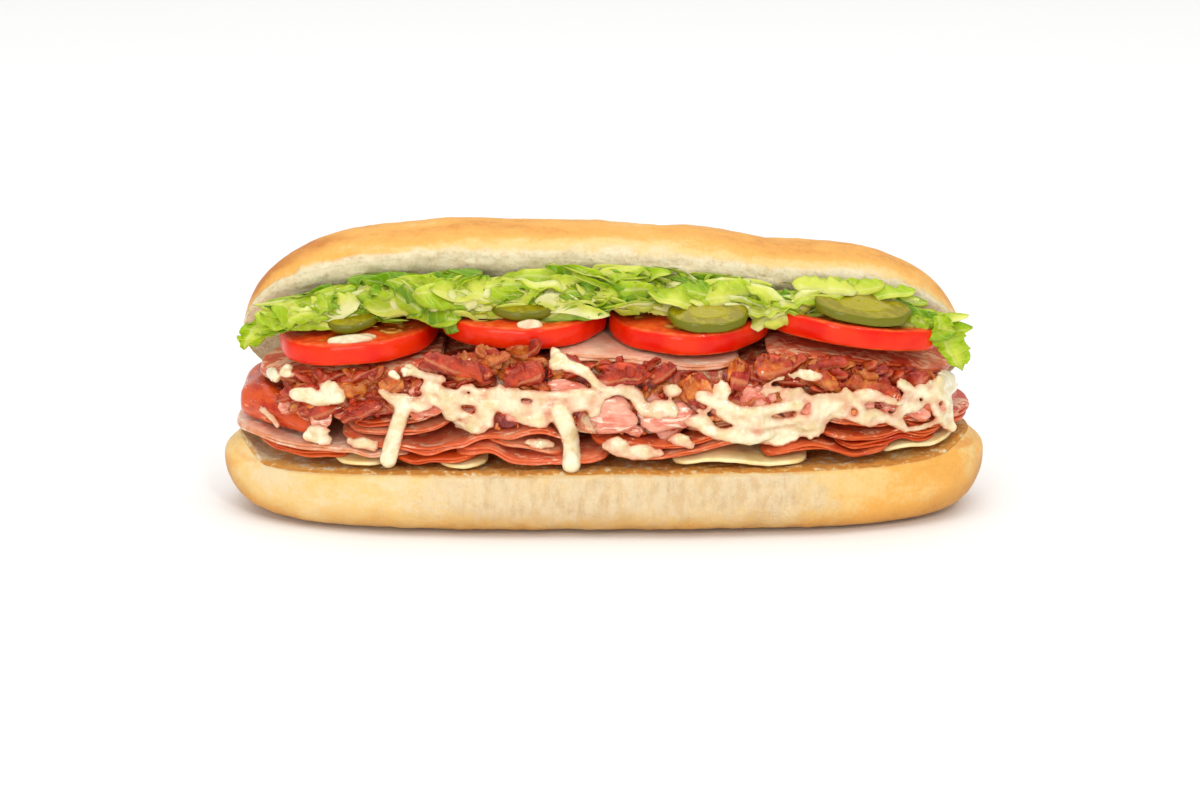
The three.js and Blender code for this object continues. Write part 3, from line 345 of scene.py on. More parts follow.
def loft(rings):
    """Closed skins over rings of points (..., ring, point, 3), each end closed by a fan to its middle.

    Returns points, quads and triangles. The leading axes are separate bodies.
    """
    rings = np.asarray(rings, float)
    ring_count, around = rings.shape[-3:-1]
    bodies = rings.reshape(-1, ring_count, around, 3)
    caps = bodies[:, [0, -1]].mean(axis=2)
    points = np.concatenate([bodies.reshape(len(bodies), -1, 3), caps], axis=1)
    i, j = np.meshgrid(np.arange(ring_count - 1), np.arange(around), indexing="ij")
    k = (j + 1) % around
    near, far = i * around, (i + 1) * around
    quads = np.stack([near + j, near + k, far + k, far + j], -1).reshape(-1, 4)
    j = np.arange(around)
    k = (j + 1) % around
    first_middle = 0 * j + ring_count * around
    last_ring = (ring_count - 1) * around
    first_fan = np.stack([first_middle, k, j], -1)
    last_fan = np.stack([first_middle + 1, last_ring + j, last_ring + k], -1)
    fans = np.concatenate([first_fan, last_fan])
    start = np.arange(len(bodies))[:, None, None] * points.shape[1]
    return points.reshape(-1, 3), (quads + start).reshape(-1, 4), (fans + start).reshape(-1, 3)


def volume(points, quads, triangles):
    """Signed volume: the sum of the triple products of all triangles."""
    faces = np.concatenate([quads[:, [0, 1, 2]], quads[:, [0, 2, 3]], triangles])
    a, b, c = (points[faces[:, k]] for k in range(3))
    return np.einsum("ij,ij->", a, np.cross(b, c)) / 6


def make_piece(name, parts, material, slot, nodes=(), **marks):
    """Joins lofts into one smooth mesh object with its numbers per point, and hides the CAD nodes that it
    stands for.
    """
    shifts = np.cumsum([0] + [len(part[0]) for part in parts[:-1]])
    turned = []
    for (points, quads, triangles), shift in zip(parts, shifts):
        if volume(points - points.mean(axis=0), quads, triangles) < 0:
            quads, triangles = quads[:, ::-1], triangles[:, ::-1]
        turned.append((points, quads + shift, triangles + shift))
    points = np.concatenate([part[0] for part in turned])
    quads = np.concatenate([part[1] for part in turned])
    triangles = np.concatenate([part[2] for part in turned])
    sizes = np.concatenate([np.full(len(quads), 4), np.full(len(triangles), 3)])
    mesh = bpy.data.meshes.new(name)
    mesh.vertices.add(len(points))
    mesh.vertices.foreach_set("co", (points * MILLIMETRE).ravel())
    mesh.loops.add(int(sizes.sum()))
    mesh.loops.foreach_set("vertex_index", np.concatenate([quads.ravel(), triangles.ravel()]))
    mesh.polygons.add(len(sizes))
    mesh.polygons.foreach_set("loop_start", np.concatenate([[0], np.cumsum(sizes)[:-1]]))
    mesh.polygons.foreach_set("use_smooth", np.ones(len(sizes), bool))
    mesh.update(calc_edges=True)
    for mark, values in marks.items():
        mark_points(mesh, mark, values)
    return dress(mesh, name, material, nodes)


def mark_points(mesh, mark, values):
    """Keeps one number for each point of a mesh under a name that a finish reads."""
    layer = mesh.attributes.new(mark, "FLOAT", "POINT")
    layer.data.foreach_set("value", np.asarray(values, np.float32).ravel())


def point_places(piece):
    """X, Y and Z of all points of a piece, in millimetres."""
    flat = np.empty(len(piece.data.vertices) * 3)
    piece.data.vertices.foreach_get("co", flat)
    return flat.reshape(-1, 3).T * 1000


def dress(mesh, name, material, nodes):
    """Gives a mesh its finish and its object, and hides the CAD nodes that it stands for."""
    mesh.materials.append(material)
    piece = bpy.data.objects.new(name, mesh)
    bpy.context.scene.collection.objects.link(piece)
    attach(piece, "root")
    if nodes:
        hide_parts(*nodes)
    return piece


def with_ends(values, ends=0.0):
    """Values of ring points in the order of loft's points, the two fan points last."""
    return np.concatenate([np.asarray(values).ravel(), [ends, ends]])


def grid_normals(rings):
    """Unit normals of closed rings: the cross product of the steps along and around."""
    ahead = np.gradient(rings, axis=0)
    around = np.roll(rings, -1, axis=1) - np.roll(rings, 1, axis=1)
    normal = np.cross(ahead, around)
    normal /= np.linalg.norm(normal, axis=-1, keepdims=True) + 1e-9
    outward = np.einsum("ijk,ijk->", normal, rings - rings.mean(axis=1, keepdims=True))
    return normal * np.sign(outward)


def even_choice(path, count):
    """Numbers of the points nearest to even spacing along a closed dense path."""
    step = np.linalg.norm(np.diff(path, axis=0, append=path[:1]), axis=1)
    place = np.concatenate([[0], np.cumsum(step)])
    return np.searchsorted(place[:-1], np.arange(count) * place[-1] / count)


def round_corners(rings, corner_weight, rounds):
    """Each point near a corner moves to the mean of its two neighbours, many times."""
    weight = corner_weight[..., None]
    for _ in range(rounds):
        mean = (np.roll(rings, 1, axis=1) + np.roll(rings, -1, axis=1)) / 2
        rings = rings + weight * (mean - rings)
    return rings


def close_ends(rings, x, start, end, reach):
    """Rings drawn in towards their own middles over the last reach before each end, as a square root."""
    share = np.sqrt(np.clip(np.minimum(x - start, end - x) / reach, 0.02, 1))
    middle = rings.mean(axis=1, keepdims=True)[..., 1:]
    return np.concatenate([rings[..., :1], middle + (rings[..., 1:] - middle) * share[..., None]], -1)


# ------------------------------------------------------------------ the roll's surfaces

def base_share(x):
    """Half width of the lower half as a share of its greatest: the root of 1 less a high power of x."""
    return np.sqrt(np.clip(1 - np.abs(x / BASE_HALF_LENGTH) ** BASE_TAPER, 0, None))


def lid_share(x):
    """Half width of the lid as a share of its greatest, worked out like the lower half's."""
    return np.sqrt(np.clip(1 - np.abs(x / LID_HALF_LENGTH) ** LID_TAPER, 0, None))


def cut_height(x, across):
    """Z of the lower cut face: a straight line from front rim to back rim, sagging as a parabola."""
    front = along(BASE_FRONT_RIM, x)
    mean = front + (along(BASE_BACK_RIM, x) - front) * (across + 1) / 2
    return mean - BASE_SAG * base_share(x) * (1 - across ** 2)


def front_y(x, inset):
    """Y of the line that lies inset behind the front rim."""
    return BASE_CENTRE_Y - np.maximum(BASE_HALF_WIDTH * base_share(x) - inset, 1)


def back_y(x, inset):
    """Y of the line that lies inset before the back rim."""
    return BASE_CENTRE_Y + np.maximum(BASE_HALF_WIDTH * base_share(x) - inset, 1)


def underside(x):
    """Z of the lower half's bottom: flat, with both tips curving up."""
    share = np.sqrt(np.clip(1 - np.abs(x / BASE_HALF_LENGTH) ** BASE_TIP_SHARPNESS, 0, None))
    rise = BASE_TIP_LIFT * (1 - share)
    return np.maximum(0, rise - 0.1)


def lid_point(x, across, up):
    """A point of the lid: across its width and up from its cut plane, turned open about the hinge."""
    x, across, up = np.broadcast_arrays(np.asarray(x, float), across, up)
    out = across - HINGE_REACH
    y = HINGE_Y + out * math.cos(LID_OPENING) + up * math.sin(LID_OPENING)
    z = HINGE_Z - out * math.sin(LID_OPENING) + up * math.cos(LID_OPENING)
    return np.stack([x, y, z + along(LID_SPINE, x)], -1)


def lid_hollow(side):
    """Depth of the lid's torn-out crumb: none at its rims, and starting late behind the plump front one."""
    return LID_HOLLOW * (1 - side ** 2) * fade(side, -0.95, 0.35)


def lid_face_point(x, side):
    """A point of the lid's cut face, side going from -1 at its front rim to 1 at the hinge."""
    share = lid_share(x)
    return lid_point(x, side * LID_HALF_WIDTH * share, lid_hollow(side) * share)


LID_FACE_HALVINGS = 20


def lid_face_y(x, z):
    """Y of the lid's cut face at a height, less a margin, by halving the interval. There is no face below
    its hinge edge, so there Y is far back."""
    x, z = np.broadcast_arrays(np.asarray(x, float), np.asarray(z, float))
    upper = np.full(x.shape, -1.0)
    lower = np.full(x.shape, 1.0)
    for _ in range(LID_FACE_HALVINGS):
        middle = (upper + lower) / 2
        above = lid_face_point(x, middle)[..., 2] > z
        upper = np.where(above, middle, upper)
        lower = np.where(above, lower, middle)
    y = lid_face_point(x, upper)[..., 1] - CLEAR_OF_LID
    return np.where(z < lid_face_point(x, np.ones(x.shape))[..., 2], 1e3, y)


def crust_relief(points):
    """Height of a crust's unevenness: broad lumps, small lumps and fine wrinkles."""
    return 0.55 * cloud(points, 24, 3, 2) + 0.16 * cloud(points, 5, 5, 2) + 0.05 * noise(points, 1.3, 8)


def stations(half_length):
    """Places along X that close up towards both tips: the sine of even turns, without the tips."""
    turn = np.linspace(-np.pi / 2, np.pi / 2, ROLL_STATIONS)[1:-1]
    return half_length * np.sin(turn)[:, None]


def base_profile():
    """The lower half's section: place across, share of the rim's height, and 1 on the cut face. It runs down
    the bulging front wall, back under a superellipse, up the back wall and forward over the cut face."""
    angle = np.linspace(0, np.pi, 1600)
    down = np.linspace(0, 1, 240)
    top = np.linspace(1, -1, 1200)
    bulge = 1 + (BASE_BELLY - 1) * np.sin(down * np.pi / 2)
    rise = 1 - (1 - BASE_BELLY_HEIGHT) * down
    under = -signed_power(np.cos(angle), 2 / BASE_SQUARENESS) * BASE_BELLY
    sink = np.minimum(1, BASE_FLATNESS * np.sin(angle) ** (2 / BASE_SQUARENESS))
    side = np.concatenate([-bulge, under, bulge[::-1], top])
    high = np.concatenate([rise, BASE_BELLY_HEIGHT * (1 - sink), rise[::-1], 0 * top])
    on_cut = np.concatenate([0 * rise, 0 * angle, 0 * rise, 0 * top + 1])
    return side, high, on_cut


def base_surface(x, side, high, on_cut):
    """Points of the lower half: walls from the underside to the rim, and the cut face between the rims. At
    the tips the two rims come level and their edge draws in."""
    low = underside(x)
    rim = cut_height(x, np.where(side < 0, -1.0, 1.0))
    level = (cut_height(x, -1.0) + cut_height(x, 1.0)) / 2
    tip = fade(np.abs(x), *RIMS_LEVEL_OVER)
    rim = rim + tip * (level - rim)
    cut = cut_height(x, side) + tip * (level - cut_height(x, side))
    z = np.where(on_cut > 0.5, cut, low + (rim - low) * high)
    pull = TIP_PULL * fade(np.abs(x), *TIP_PULLED_OVER) * fade(z, rim - 11, rim + 1) ** 2
    return np.stack([x - np.sign(x) * pull, BASE_CENTRE_Y + BASE_HALF_WIDTH * base_share(x) * side, z], -1)


def base_marks(rings, x, side, high, on_cut, torn):
    """How far each point is crumb, baked, toasted, torn open and shaded, for the bread's finish."""
    ends = fade(np.abs(x), 40, 132)
    bake = 0.18 + ends * np.where(x < 0, -0.02, 0.34) + 0.2 * cloud(rings * [0.6, 1, 1], 14, 41, 3)
    bake = np.where(side > 0.2, bake + 0.22, bake)
    low = 1 - fade(high + 0.1 * cloud(rings, 12, 45, 2), 0.04, 0.56)
    bake = bake * (1 - 0.6 * torn) + 0.36 * low + 0.2 * ends * (x < 0) * (1 - fade(high, 0.3, 0.85))
    # Nearly untoasted towards the end at negative X.
    plain = fade(-x, 90, 118)
    front_toast = on_cut * np.exp(-((side + 1) * 11) ** 2) * (0.95 + 0.5 * cloud(rings, 8, 43, 3))
    below_rim = along(BASE_FRONT_RIM, x) - rings[..., 2]
    edge = (side < -0.9) * (1 - on_cut) * np.exp(-(below_rim / 1.7) ** 2)
    front_toast = (front_toast + edge * (0.55 + 0.6 * cloud(rings, 9, 47, 3))) * (1 - 0.6 * plain)
    ledge = 0.72 + 0.06 * fade(x, 96, 130) - 0.3 * plain + 0.2 * cloud(rings, 10, 49, 3)
    back_toast = on_cut * (ledge + np.exp(-((side - 1) * 14) ** 2) * 0.6)
    return {"crumb": on_cut + 0 * x, "bake": bake, "toast": np.clip(front_toast + back_toast, 0, 1),
            "torn": torn * (1 - 0.7 * low), "shade": low * (1 - on_cut) + 0 * x}


def make_base(material):
    """The lower half: a belly-sided section carried along X, its cut face sagging in the middle."""
    side, high, on_cut = base_profile()
    chosen = even_choice(base_surface(np.zeros(len(side)), side, high, on_cut), ROLL_AROUND)
    side, high, on_cut = side[None, chosen], high[None, chosen], on_cut[None, chosen]
    x = stations(BASE_HALF_LENGTH)
    rings = base_surface(x, side, high, on_cut)
    corner = np.minimum(np.abs(np.abs(side) - 1) + 2 * np.abs(high - 1) * (1 - on_cut), 1)
    near = np.exp(-(corner * 12) ** 2) + 0 * x
    rings = round_corners(rings, 0.9 * near, BASE_ROUNDING)
    normal = grid_normals(rings)
    facing = np.clip(-normal[..., 1], 0, 1) * (1 - on_cut)
    torn = facing * fade(x, *TORN_FROM) * (1 - fade(x, *TORN_TO)) * (0.75 + 0.25 * noise(rings, 14, 31))
    crust = crust_relief(rings) * (1 - on_cut) * (1 - near)
    tears = cloud(rings * [1, 1, 0.35], 3.2, 17, 3)
    rough = torn * (0.45 * cloud(rings, 4.2, 11, 3) + 0.4 * tears + 0.16 * noise(rings, 1.6, 15))
    pores = on_cut * (0.45 * cloud(rings, 6, 21, 3) + 0.2 * noise(rings, 1.7, 23))
    lift = (crust + rough + pores) * base_share(x) ** 0.5
    off_table = fade(rings[..., 2], 0.2, 2.5)
    rings = rings + normal * (lift * off_table)[..., None]
    rings[..., 2] = np.maximum(rings[..., 2], 0)
    marks = base_marks(rings, x, side, high, on_cut, torn)
    make_piece("roll_base", [loft(rings)], material, "bread", ["roll"],
               **{mark: with_ends(values) for mark, values in marks.items()})


def make_lid(material):
    """The upper half: a domed crust over a hollowed cut face, the section carried along X."""
    angle = np.linspace(0, np.pi, 2400)
    face = np.linspace(1, -1, 1200)
    side = np.concatenate([-signed_power(np.cos(angle), 2 / LID_ROUNDNESS), face])
    up = np.concatenate([LID_RISE * np.abs(np.sin(angle)) ** (2 / LID_ROUNDNESS), lid_hollow(face)])
    on_cut = np.concatenate([0 * angle, 0 * face + 1])
    chosen = even_choice(np.stack([0 * side, side * LID_HALF_WIDTH, up], -1), ROLL_AROUND)
    side, up, on_cut = side[None, chosen], up[None, chosen], on_cut[None, chosen]
    x = stations(LID_HALF_LENGTH)
    share = lid_share(x)
    rings = lid_point(x, side * LID_HALF_WIDTH * share, up * share)
    near = np.exp(-((np.abs(side) - 1) * 9) ** 2) + 0 * x
    rings = round_corners(rings, 0.9 * near, LID_ROUNDING)
    normal = grid_normals(rings)
    crust = crust_relief(rings) * (1 - on_cut) * fade(up, 0.2, 5)
    near_cut = np.maximum(on_cut, (side < 0) * (1 - fade(up, 3, 9)))
    crumbly = near_cut * (0.8 * cloud(rings * [0.7, 1, 1], 6, 27, 3) + 0.2 * noise(rings, 1.7, 29))
    rings = rings + normal * ((crust + crumbly) * share ** 0.5)[..., None]
    height = up / LID_RISE
    ragged_height = up + 2.2 * noise(rings, 11, 57) + 1.2 * noise(rings, 3, 58)
    band = (side < 0) * (1 - on_cut) * (1 - fade(ragged_height, 1.0, 9.5))
    bake = 0.16 + 0.66 * fade(height, 0.08, 0.5) + 0.1 * fade(np.abs(x), 112, 142) + 0.16 * fade(-x, 10, 110)
    bake = bake + 0.34 * cloud(rings * [0.4, 1, 1], 13, 51, 4) + 0.12 * cloud(rings, 34, 52, 2)
    toast = np.exp(-((np.abs(side) - 1) * 24) ** 2) * (0.55 + 0.45 * noise(rings, 9, 53))
    make_piece("roll_lid", [loft(rings)], material, "bread", ["roll"],
               crumb=with_ends(np.maximum(on_cut + 0 * x, 0.8 * band)), bake=with_ends(bake),
               toast=with_ends(np.clip(toast, 0, 1) * 0.12), torn=with_ends(0.3 * band))


# ------------------------------------------------------------------ sheets of meat and cheese

class Terrain:
    """Heights at every station, read as a smoothed line from one to the next."""

    def __init__(self, height):
        self.x = np.arange(-STATIONS_ASIDE, STATIONS_ASIDE + 1) * STATION
        self.heights = height(self.x)

    def at(self, x):
        """Mean of the line at nine places around x, so that it bends softly."""
        shift = np.linspace(-0.75, 0.75, 9) * STATION
        weight = np.exp(-(2 * shift / STATION) ** 2)
        spread = np.interp(np.asarray(x, float)[..., None] + shift, self.x, self.heights)
        return (spread * weight).sum(-1) / weight.sum()

    def lay(self, start, end, edge, thick):
        """Lays a sheet on top: returns where it lies, and keeps the terrain left above it."""
        lowest = Terrain(lambda x: np.maximum(self.heights + SHEET_GAP, along(edge, x)))
        first = math.floor(start / STATION) + STATIONS_ASIDE
        last = math.ceil(end / STATION) + STATIONS_ASIDE
        self.heights = self.heights.copy()
        self.heights[first:last + 1] = lowest.heights[first:last + 1] + thick
        return lowest


def under_sheets(x):
    """Height at the pivot line of the lowest plane, sloping like the sheets, that clears the cut face."""
    places = np.linspace(-0.9, 0.9, 12)
    behind = [BASE_CENTRE_Y + BASE_HALF_WIDTH * base_share(x) * across - LOWER_PIVOT_Y for across in places]
    return np.max([cut_height(x, across) - SLOPE * y for across, y in zip(places, behind)], axis=0)


def corner_draw(x, start, end):
    """How far a sheet's rounded corner draws back from its straight edge: a quarter circle at each end."""
    radius = min(CORNER_RADIUS, (end - start) / 2)
    reach = np.maximum(0, np.abs(x - (start + end) / 2) - ((end - start) / 2 - radius)) / radius
    return radius * (1 - np.sqrt(np.clip(1 - reach ** 2, 0, None)))


# The rim mark, a distance from an edge in millimetres, of points that are far from any edge.
NO_RIM = 9.0
SHEET_STEP = 0.75
SHEET_DROOP = 0.9
# Distances behind a sheet's front edge at which its surface has points.
SHEET_DEPTHS = np.array([0, 0.08, 0.25, 0.5, 0.8, 1.15, 1.55, 2, 2.6, 3.3, 4.1, 5, 6, 7.2, 8.6, 10.2, 12, 14,
                         16.5, 20, 26, 36, 50, 70, 100])


def sheet_rings(start, end, inset, thick, height, seed):
    """A flexible sheet: its middle surface rises towards the hinge, its front edge waves and droops, and
    its thickness closes in a half circle at the front edge and at both ends."""
    count = max(26, int((end - start) / SHEET_STEP))
    turn = np.linspace(0, np.pi, count)
    x = ((start + end) / 2 - (end - start) / 2 * np.cos(turn) * (1 - 0.15 * np.sin(turn) ** 2))[:, None]
    draw = corner_draw(x, start, end)
    wave = 0.9 * line_noise(x, 9, seed) + 0.35 * line_noise(x, 3.2, seed + 1)
    front = front_y(x, inset + draw + wave)
    flat_back = np.minimum(back_y(x, inset + draw), lid_face_y(x, height(x, 0 * x) + thick))
    back = np.maximum(front + 1, flat_back)
    depth = np.minimum(SHEET_DEPTHS[None], back - front)
    y = front + depth
    middle_z = height(x, y) + thick / 2
    points = np.stack([x + 0 * y, y, middle_z], -1)
    on_plan = points * [1, 1, 0]
    bend = 0.45 * noise(on_plan, 13, 5) + 0.16 * noise(on_plan + [0, 0, 9 * seed], 4, seed)
    hang = SHEET_DROOP * np.clip(1 - depth / 7, 0, 1) ** 2 * (0.7 + 0.5 * line_noise(x, 12, seed + 3))
    radius = thick / 2
    nose = np.sqrt(np.clip(1 - (1 - np.clip(depth / radius, 0, 1)) ** 2, 0, 1))
    tip = np.sqrt(np.clip(np.minimum(x - start, end - x) / 1.4, 0.0, 1))
    swell = 1 + 0.14 * line_noise(x, 7, seed + 5) * np.clip(1 - depth / 9, 0, 1)
    half = radius * nose * tip * swell
    above = np.stack([x + 0 * y, y, middle_z + bend - hang + half], -1)
    below = np.stack([x + 0 * y, y, middle_z + bend - hang - half], -1)
    rings = np.concatenate([above, below[:, :0:-1]], axis=1)
    rim = np.concatenate([depth, depth[:, :0:-1]], axis=1)
    return rings, rim


def make_sheet(sheet, lowest, pivot, material, seed, layers):
    """Thin slices lying on each other, their front edges not quite in line."""
    name, kind, start, end, inset, thick, _ = sheet
    parts = []
    rims = []
    each = thick / layers
    for layer in range(layers):
        rise = layer * each
        back = 1.3 * ((layer * 0.618 + seed * 0.37) % 1)
        rings, rim = sheet_rings(start + 0.6 * back, end - 0.8 * back, inset + back, each * 0.94,
                                 lambda x, y: lowest.at(x) + SLOPE * (y - pivot) + rise, seed + 31 * layer)
        parts.append(loft(rings))
        rims.append(with_ends(rim, NO_RIM))
    rim = np.concatenate(rims)
    make_piece(name, parts, material, kind, [name], rim=rim, tone=np.full(len(rim), (seed * 0.37) % 1))


def layers_in(name, kind):
    """Thin slices in a sheet: one of cheese, three of the thick smoked ham, two of everything else."""
    if kind == "provolone":
        return 1
    return 3 if name == "ham_10" else 2


def stack_sheets(sheets, terrain, pivot, first_seed):
    """Lays sheets on a terrain one after another, bottom sheet first."""
    for number, sheet in enumerate(sheets):
        name, kind, start, end, _, thick, edge = sheet
        lies = terrain.lay(start, end, edge, thick)
        material = cures.get(name, kinds[kind])
        make_sheet(sheet, lies, pivot, material, first_seed + 7 * number, layers_in(name, kind))


def make_fold(lies, top, material):
    """A slice folded on itself, its bend to the front: outer and inner skins of one rounded profile."""
    x = np.linspace(FOLD_FROM, FOLD_TO, 64)[:, None]
    low = lies.at(x[:, 0])[:, None]
    high = top.at(x[:, 0])[:, None]
    middle = (low + high) / 2
    half = (high - low) / 2
    front = front_y(x, FOLD_INSET) + 0.5 * line_noise(x, 8, 61)
    back = np.minimum(front + FOLD_DEPTH, back_y(x, FOLD_INSET))
    nose = np.minimum(half, (back - front) * 0.6)
    angle = np.linspace(-np.pi / 2, np.pi / 2, 40)[None]

    def skin(shrink):
        """The fold's outline drawn inwards by shrink: under, round the bend and back over."""
        arc_y = front + nose - (nose - shrink) * np.cos(angle)
        arc_z = middle + (half - shrink) * np.sin(angle)
        run_y = front + nose + (back - front - nose) * np.linspace(1, 0, 12)[None, :-1]
        y = np.concatenate([run_y, arc_y, run_y[:, ::-1]], 1)
        lower_z = middle - half + shrink + 0 * run_y
        upper_z = middle + half - shrink + 0 * run_y
        z = np.concatenate([lower_z, arc_z, upper_z], 1)
        z = z + SLOPE * (y - LOWER_PIVOT_Y)
        points = np.stack([x + 0 * y, y, z], -1)
        return points + [0, 0.5, 0.35] * cloud(points, 9, 63, 2)[..., None]

    ends = np.sqrt(np.clip(np.minimum(x - FOLD_FROM, FOLD_TO - x) / 1.2, 0.05, 1))
    outer = skin(0)
    inner = skin(FOLD_THICK)
    middle_skin = (outer + inner) / 2
    outer = middle_skin + (outer - middle_skin) * ends[..., None]
    inner = middle_skin + (inner - middle_skin) * ends[..., None]
    rings = np.concatenate([outer, inner[:, ::-1]], axis=1)
    rim = np.full(rings.shape[:2], 6.0)
    make_piece("capicola_fold", [loft(rings)], material, "capicola", ["capicola_fold"],
               rim=with_ends(rim, NO_RIM), tone=with_ends(0.8 + 0 * rim, 0.8))


# ------------------------------------------------------------------ tomato and pickle slices

def disc_rings(x, y, z, reach, depth, thick, edge, slope, lean, seed, sides):
    """A round slice on a tilted plane: from the middle of its top out round a softened edge to the
    middle of its underside, cut off where it meets the lid."""
    flat = np.linspace(0.03, 1 - edge / reach, 20)
    turn = np.linspace(np.pi / 2, -np.pi / 2, 17)
    soft = 1 - edge / reach * (1 - np.cos(turn) ** 0.8)
    height = thick / 2 + thick / 2 * signed_power(np.sin(turn), 0.75)
    share = np.concatenate([flat, soft, flat[::-1]])[:, None]
    up = np.concatenate([0 * flat + thick, height, 0 * flat])[:, None]
    angle = np.linspace(0, 2 * np.pi, sides, endpoint=False)[None]
    lobes = 1 + 0.012 * np.sin(5 * angle + seed) + 0.008 * np.sin(9 * angle + 2 * seed)
    px = x + share * reach * np.cos(angle) * lobes
    py = y + share * depth * np.sin(angle) * lobes

    def tilt(at_y):
        """Z of the slice's points when they lie at this y."""
        return z + up + slope * (at_y - y) + lean * (px - x)

    limit = lid_face_y(px, tilt(py))
    clipped = np.minimum(py, np.maximum(limit, y))
    points = np.stack([px, clipped, tilt(clipped)], -1)
    return points, share + 0 * angle, angle + 0 * share, up + 0 * angle


def make_tomato(number, below, material):
    """A slice: smooth skin round its edge, wet flesh with a wall, spokes and seed chambers on its face. Its
    plane is raised until its rim clears the sheets below. Returns its middle and the plane's two slopes."""
    x, reach, depth, front, slope, lean = TOMATOES[number]
    rest = front
    for px in np.linspace(x - reach, x + reach, 25):
        half = depth * math.sqrt(max(0, 1 - ((px - x) / reach) ** 2))
        for y in (TOMATO_FRONT_Y + depth - half, TOMATO_FRONT_Y + depth + half):
            sheet = np.interp(px, below.x, below.heights) + SLOPE * (y - UPPER_PIVOT_Y) + SHEET_GAP
            rest = max(rest, sheet - slope * (y - TOMATO_FRONT_Y) - lean * (px - x))
    y = TOMATO_FRONT_Y + depth
    z = rest + slope * depth
    rings, share, angle, up = disc_rings(x, y, z, reach, depth, TOMATO_THICK, TOMATO_EDGE, slope, lean,
                                         number, TOMATO_SIDES)
    chamber = np.sin(2.5 * angle + number * 1.3) ** 2
    gel = fade(chamber, 0.25, 0.6) * fade(share, 0.3, 0.4) * (1 - fade(share, 0.74, 0.82))
    top = up > TOMATO_THICK * 0.93
    skin = fade(share, 0.972, 0.99)
    rings[..., 2] -= gel * 0.7 * top
    seeds = fade(noise(rings, 2.3, 71 + number), 0.34, 0.52) * gel
    rings[..., 2] += seeds * 0.45 * top
    rings[..., 2] += 0.12 * cloud(rings, 3, 75, 2) * (1 - skin)
    normal = grid_normals(rings)
    rings = rings + normal * (0.12 * cloud(rings, 14, 77, 2) * skin)[..., None]
    make_piece(f"tomato_{number + 1}", [loft(rings)], material, "tomato", [f"tomato_{number + 1}"],
               skin=with_ends(skin), gel=with_ends(gel), seeds=with_ends(seeds))
    return x, y, z, slope, lean


def make_pickle(number, under, material):
    """A thin slice of pickle: dark skin round its edge, a paler wall and a glassy middle. Returns its middle
    on top, its half sizes and its two slopes."""
    px, py, reach, depth, tip = PICKLES[number]
    x, y, z, slope, lean = under
    lie = z + TOMATO_THICK + slope * (py - y) + lean * (px - x) + SHEET_GAP + tip * depth
    rings, share, _, up = disc_rings(px, py, lie, reach, depth, PICKLE_THICK, PICKLE_EDGE, slope + tip, lean,
                                     number + 4, PICKLE_SIDES)
    core = 1 - fade(share, 0.42, 0.56)
    rings[..., 2] -= 0.35 * core * (up > PICKLE_THICK * 0.9)
    rings[..., 2] += 0.1 * cloud(rings, 2.6, 81, 2)
    skin = fade(share, 0.9, 0.985)
    make_piece(f"pickle_{number + 1}", [loft(rings)], material, "pickle", [f"pickle_{number + 1}"],
               skin=with_ends(skin), core=with_ends(core))
    return px, py, lie + PICKLE_THICK, reach, depth, slope + tip, lean


# ------------------------------------------------------------------ bacon, ham pieces and crumbs

def ball(rings, around):
    """Unit ball as rings of latitude, without its two poles."""
    tilt = np.linspace(0, np.pi, rings + 2)[1:-1, None]
    turn = np.linspace(0, 2 * np.pi, around, endpoint=False)[None]
    return np.stack([np.cos(tilt) + 0 * turn, np.sin(tilt) * np.cos(turn), np.sin(tilt) * np.sin(turn)], -1)


def ribbon_bodies(draw, count, lengths, widths, thick, curl, wave, frill, blunt, mesh):
    """Thin closed slabs, each a strip widest in its middle, its ends the squarer the more blunt: bent along
    its length, curled across it and twisted, one edge straight and the other ragged and gathered. Returns
    points, distance along and share across."""
    t = np.linspace(-0.5, 0.5, mesh[0])[None, :, None]
    half = np.linspace(-1, 1, mesh[1])
    share = np.concatenate([half, half[::-1]])[None, None]
    face = np.concatenate([0 * half + 1, 0 * half - 1])[None, None]
    one = picker(draw, count)
    length = one(*lengths)
    width = one(*widths)
    phase = one(0, 6)
    ahead = t * length
    ends = np.clip(1 - np.abs(2 * t) ** one(*blunt), 0.015, 1) ** 0.6
    ragged = (0.5 * np.sin(ahead * 0.8 + phase) + 0.4 * np.sin(ahead * 2.1 + 2 * phase)
              + 0.3 * np.sin(ahead * 3.7 + 3 * phase))
    across = width / 2 * share * ends * (1 + np.where(share > 0, frill, 0.25 * frill) * ragged)
    gather = np.clip(share, 0, 1) ** 1.5
    bow = one(-1, 1) * (2 * t) ** 2 + one(-0.6, 0.6) * share ** 2
    out = bow + 0.4 * np.sin(ahead * one(0.2, 0.5) + phase)
    waves = np.sin(ahead * 1.15 + phase) + 0.4 * np.sin(ahead * 2.6 + 2 * phase)
    out = curl * out + wave * gather * ends * waves
    edge = np.sqrt(np.clip(1 - np.abs(share) ** 4, 0.04, 1)) * np.clip(1.5 * ends, 0.1, 1)
    out = out + face * thick / 2 * edge
    twist = one(-0.8, 0.8) * 2 * t
    points = np.stack([ahead + 0 * across, across * np.cos(twist) - out * np.sin(twist),
                       across * np.sin(twist) + out * np.cos(twist)], -1)
    own = draw.uniform(0, 900, (count, 1, 1, 3))
    points = points + [0, 0, 1] * (0.22 * thick * cloud(points + own, 2.6 * thick, 95, 2))[..., None]
    return points, ahead + 0 * across, share + 0 * across


def turn_about(points, axis, angle):
    """Points turned about X (0), Y (1) or Z (2) by an angle for each body."""
    a, b = [(1, 2), (2, 0), (0, 1)][axis]
    turned = points.copy()
    turned[..., a] = points[..., a] * np.cos(angle) - points[..., b] * np.sin(angle)
    turned[..., b] = points[..., a] * np.sin(angle) + points[..., b] * np.cos(angle)
    return turned


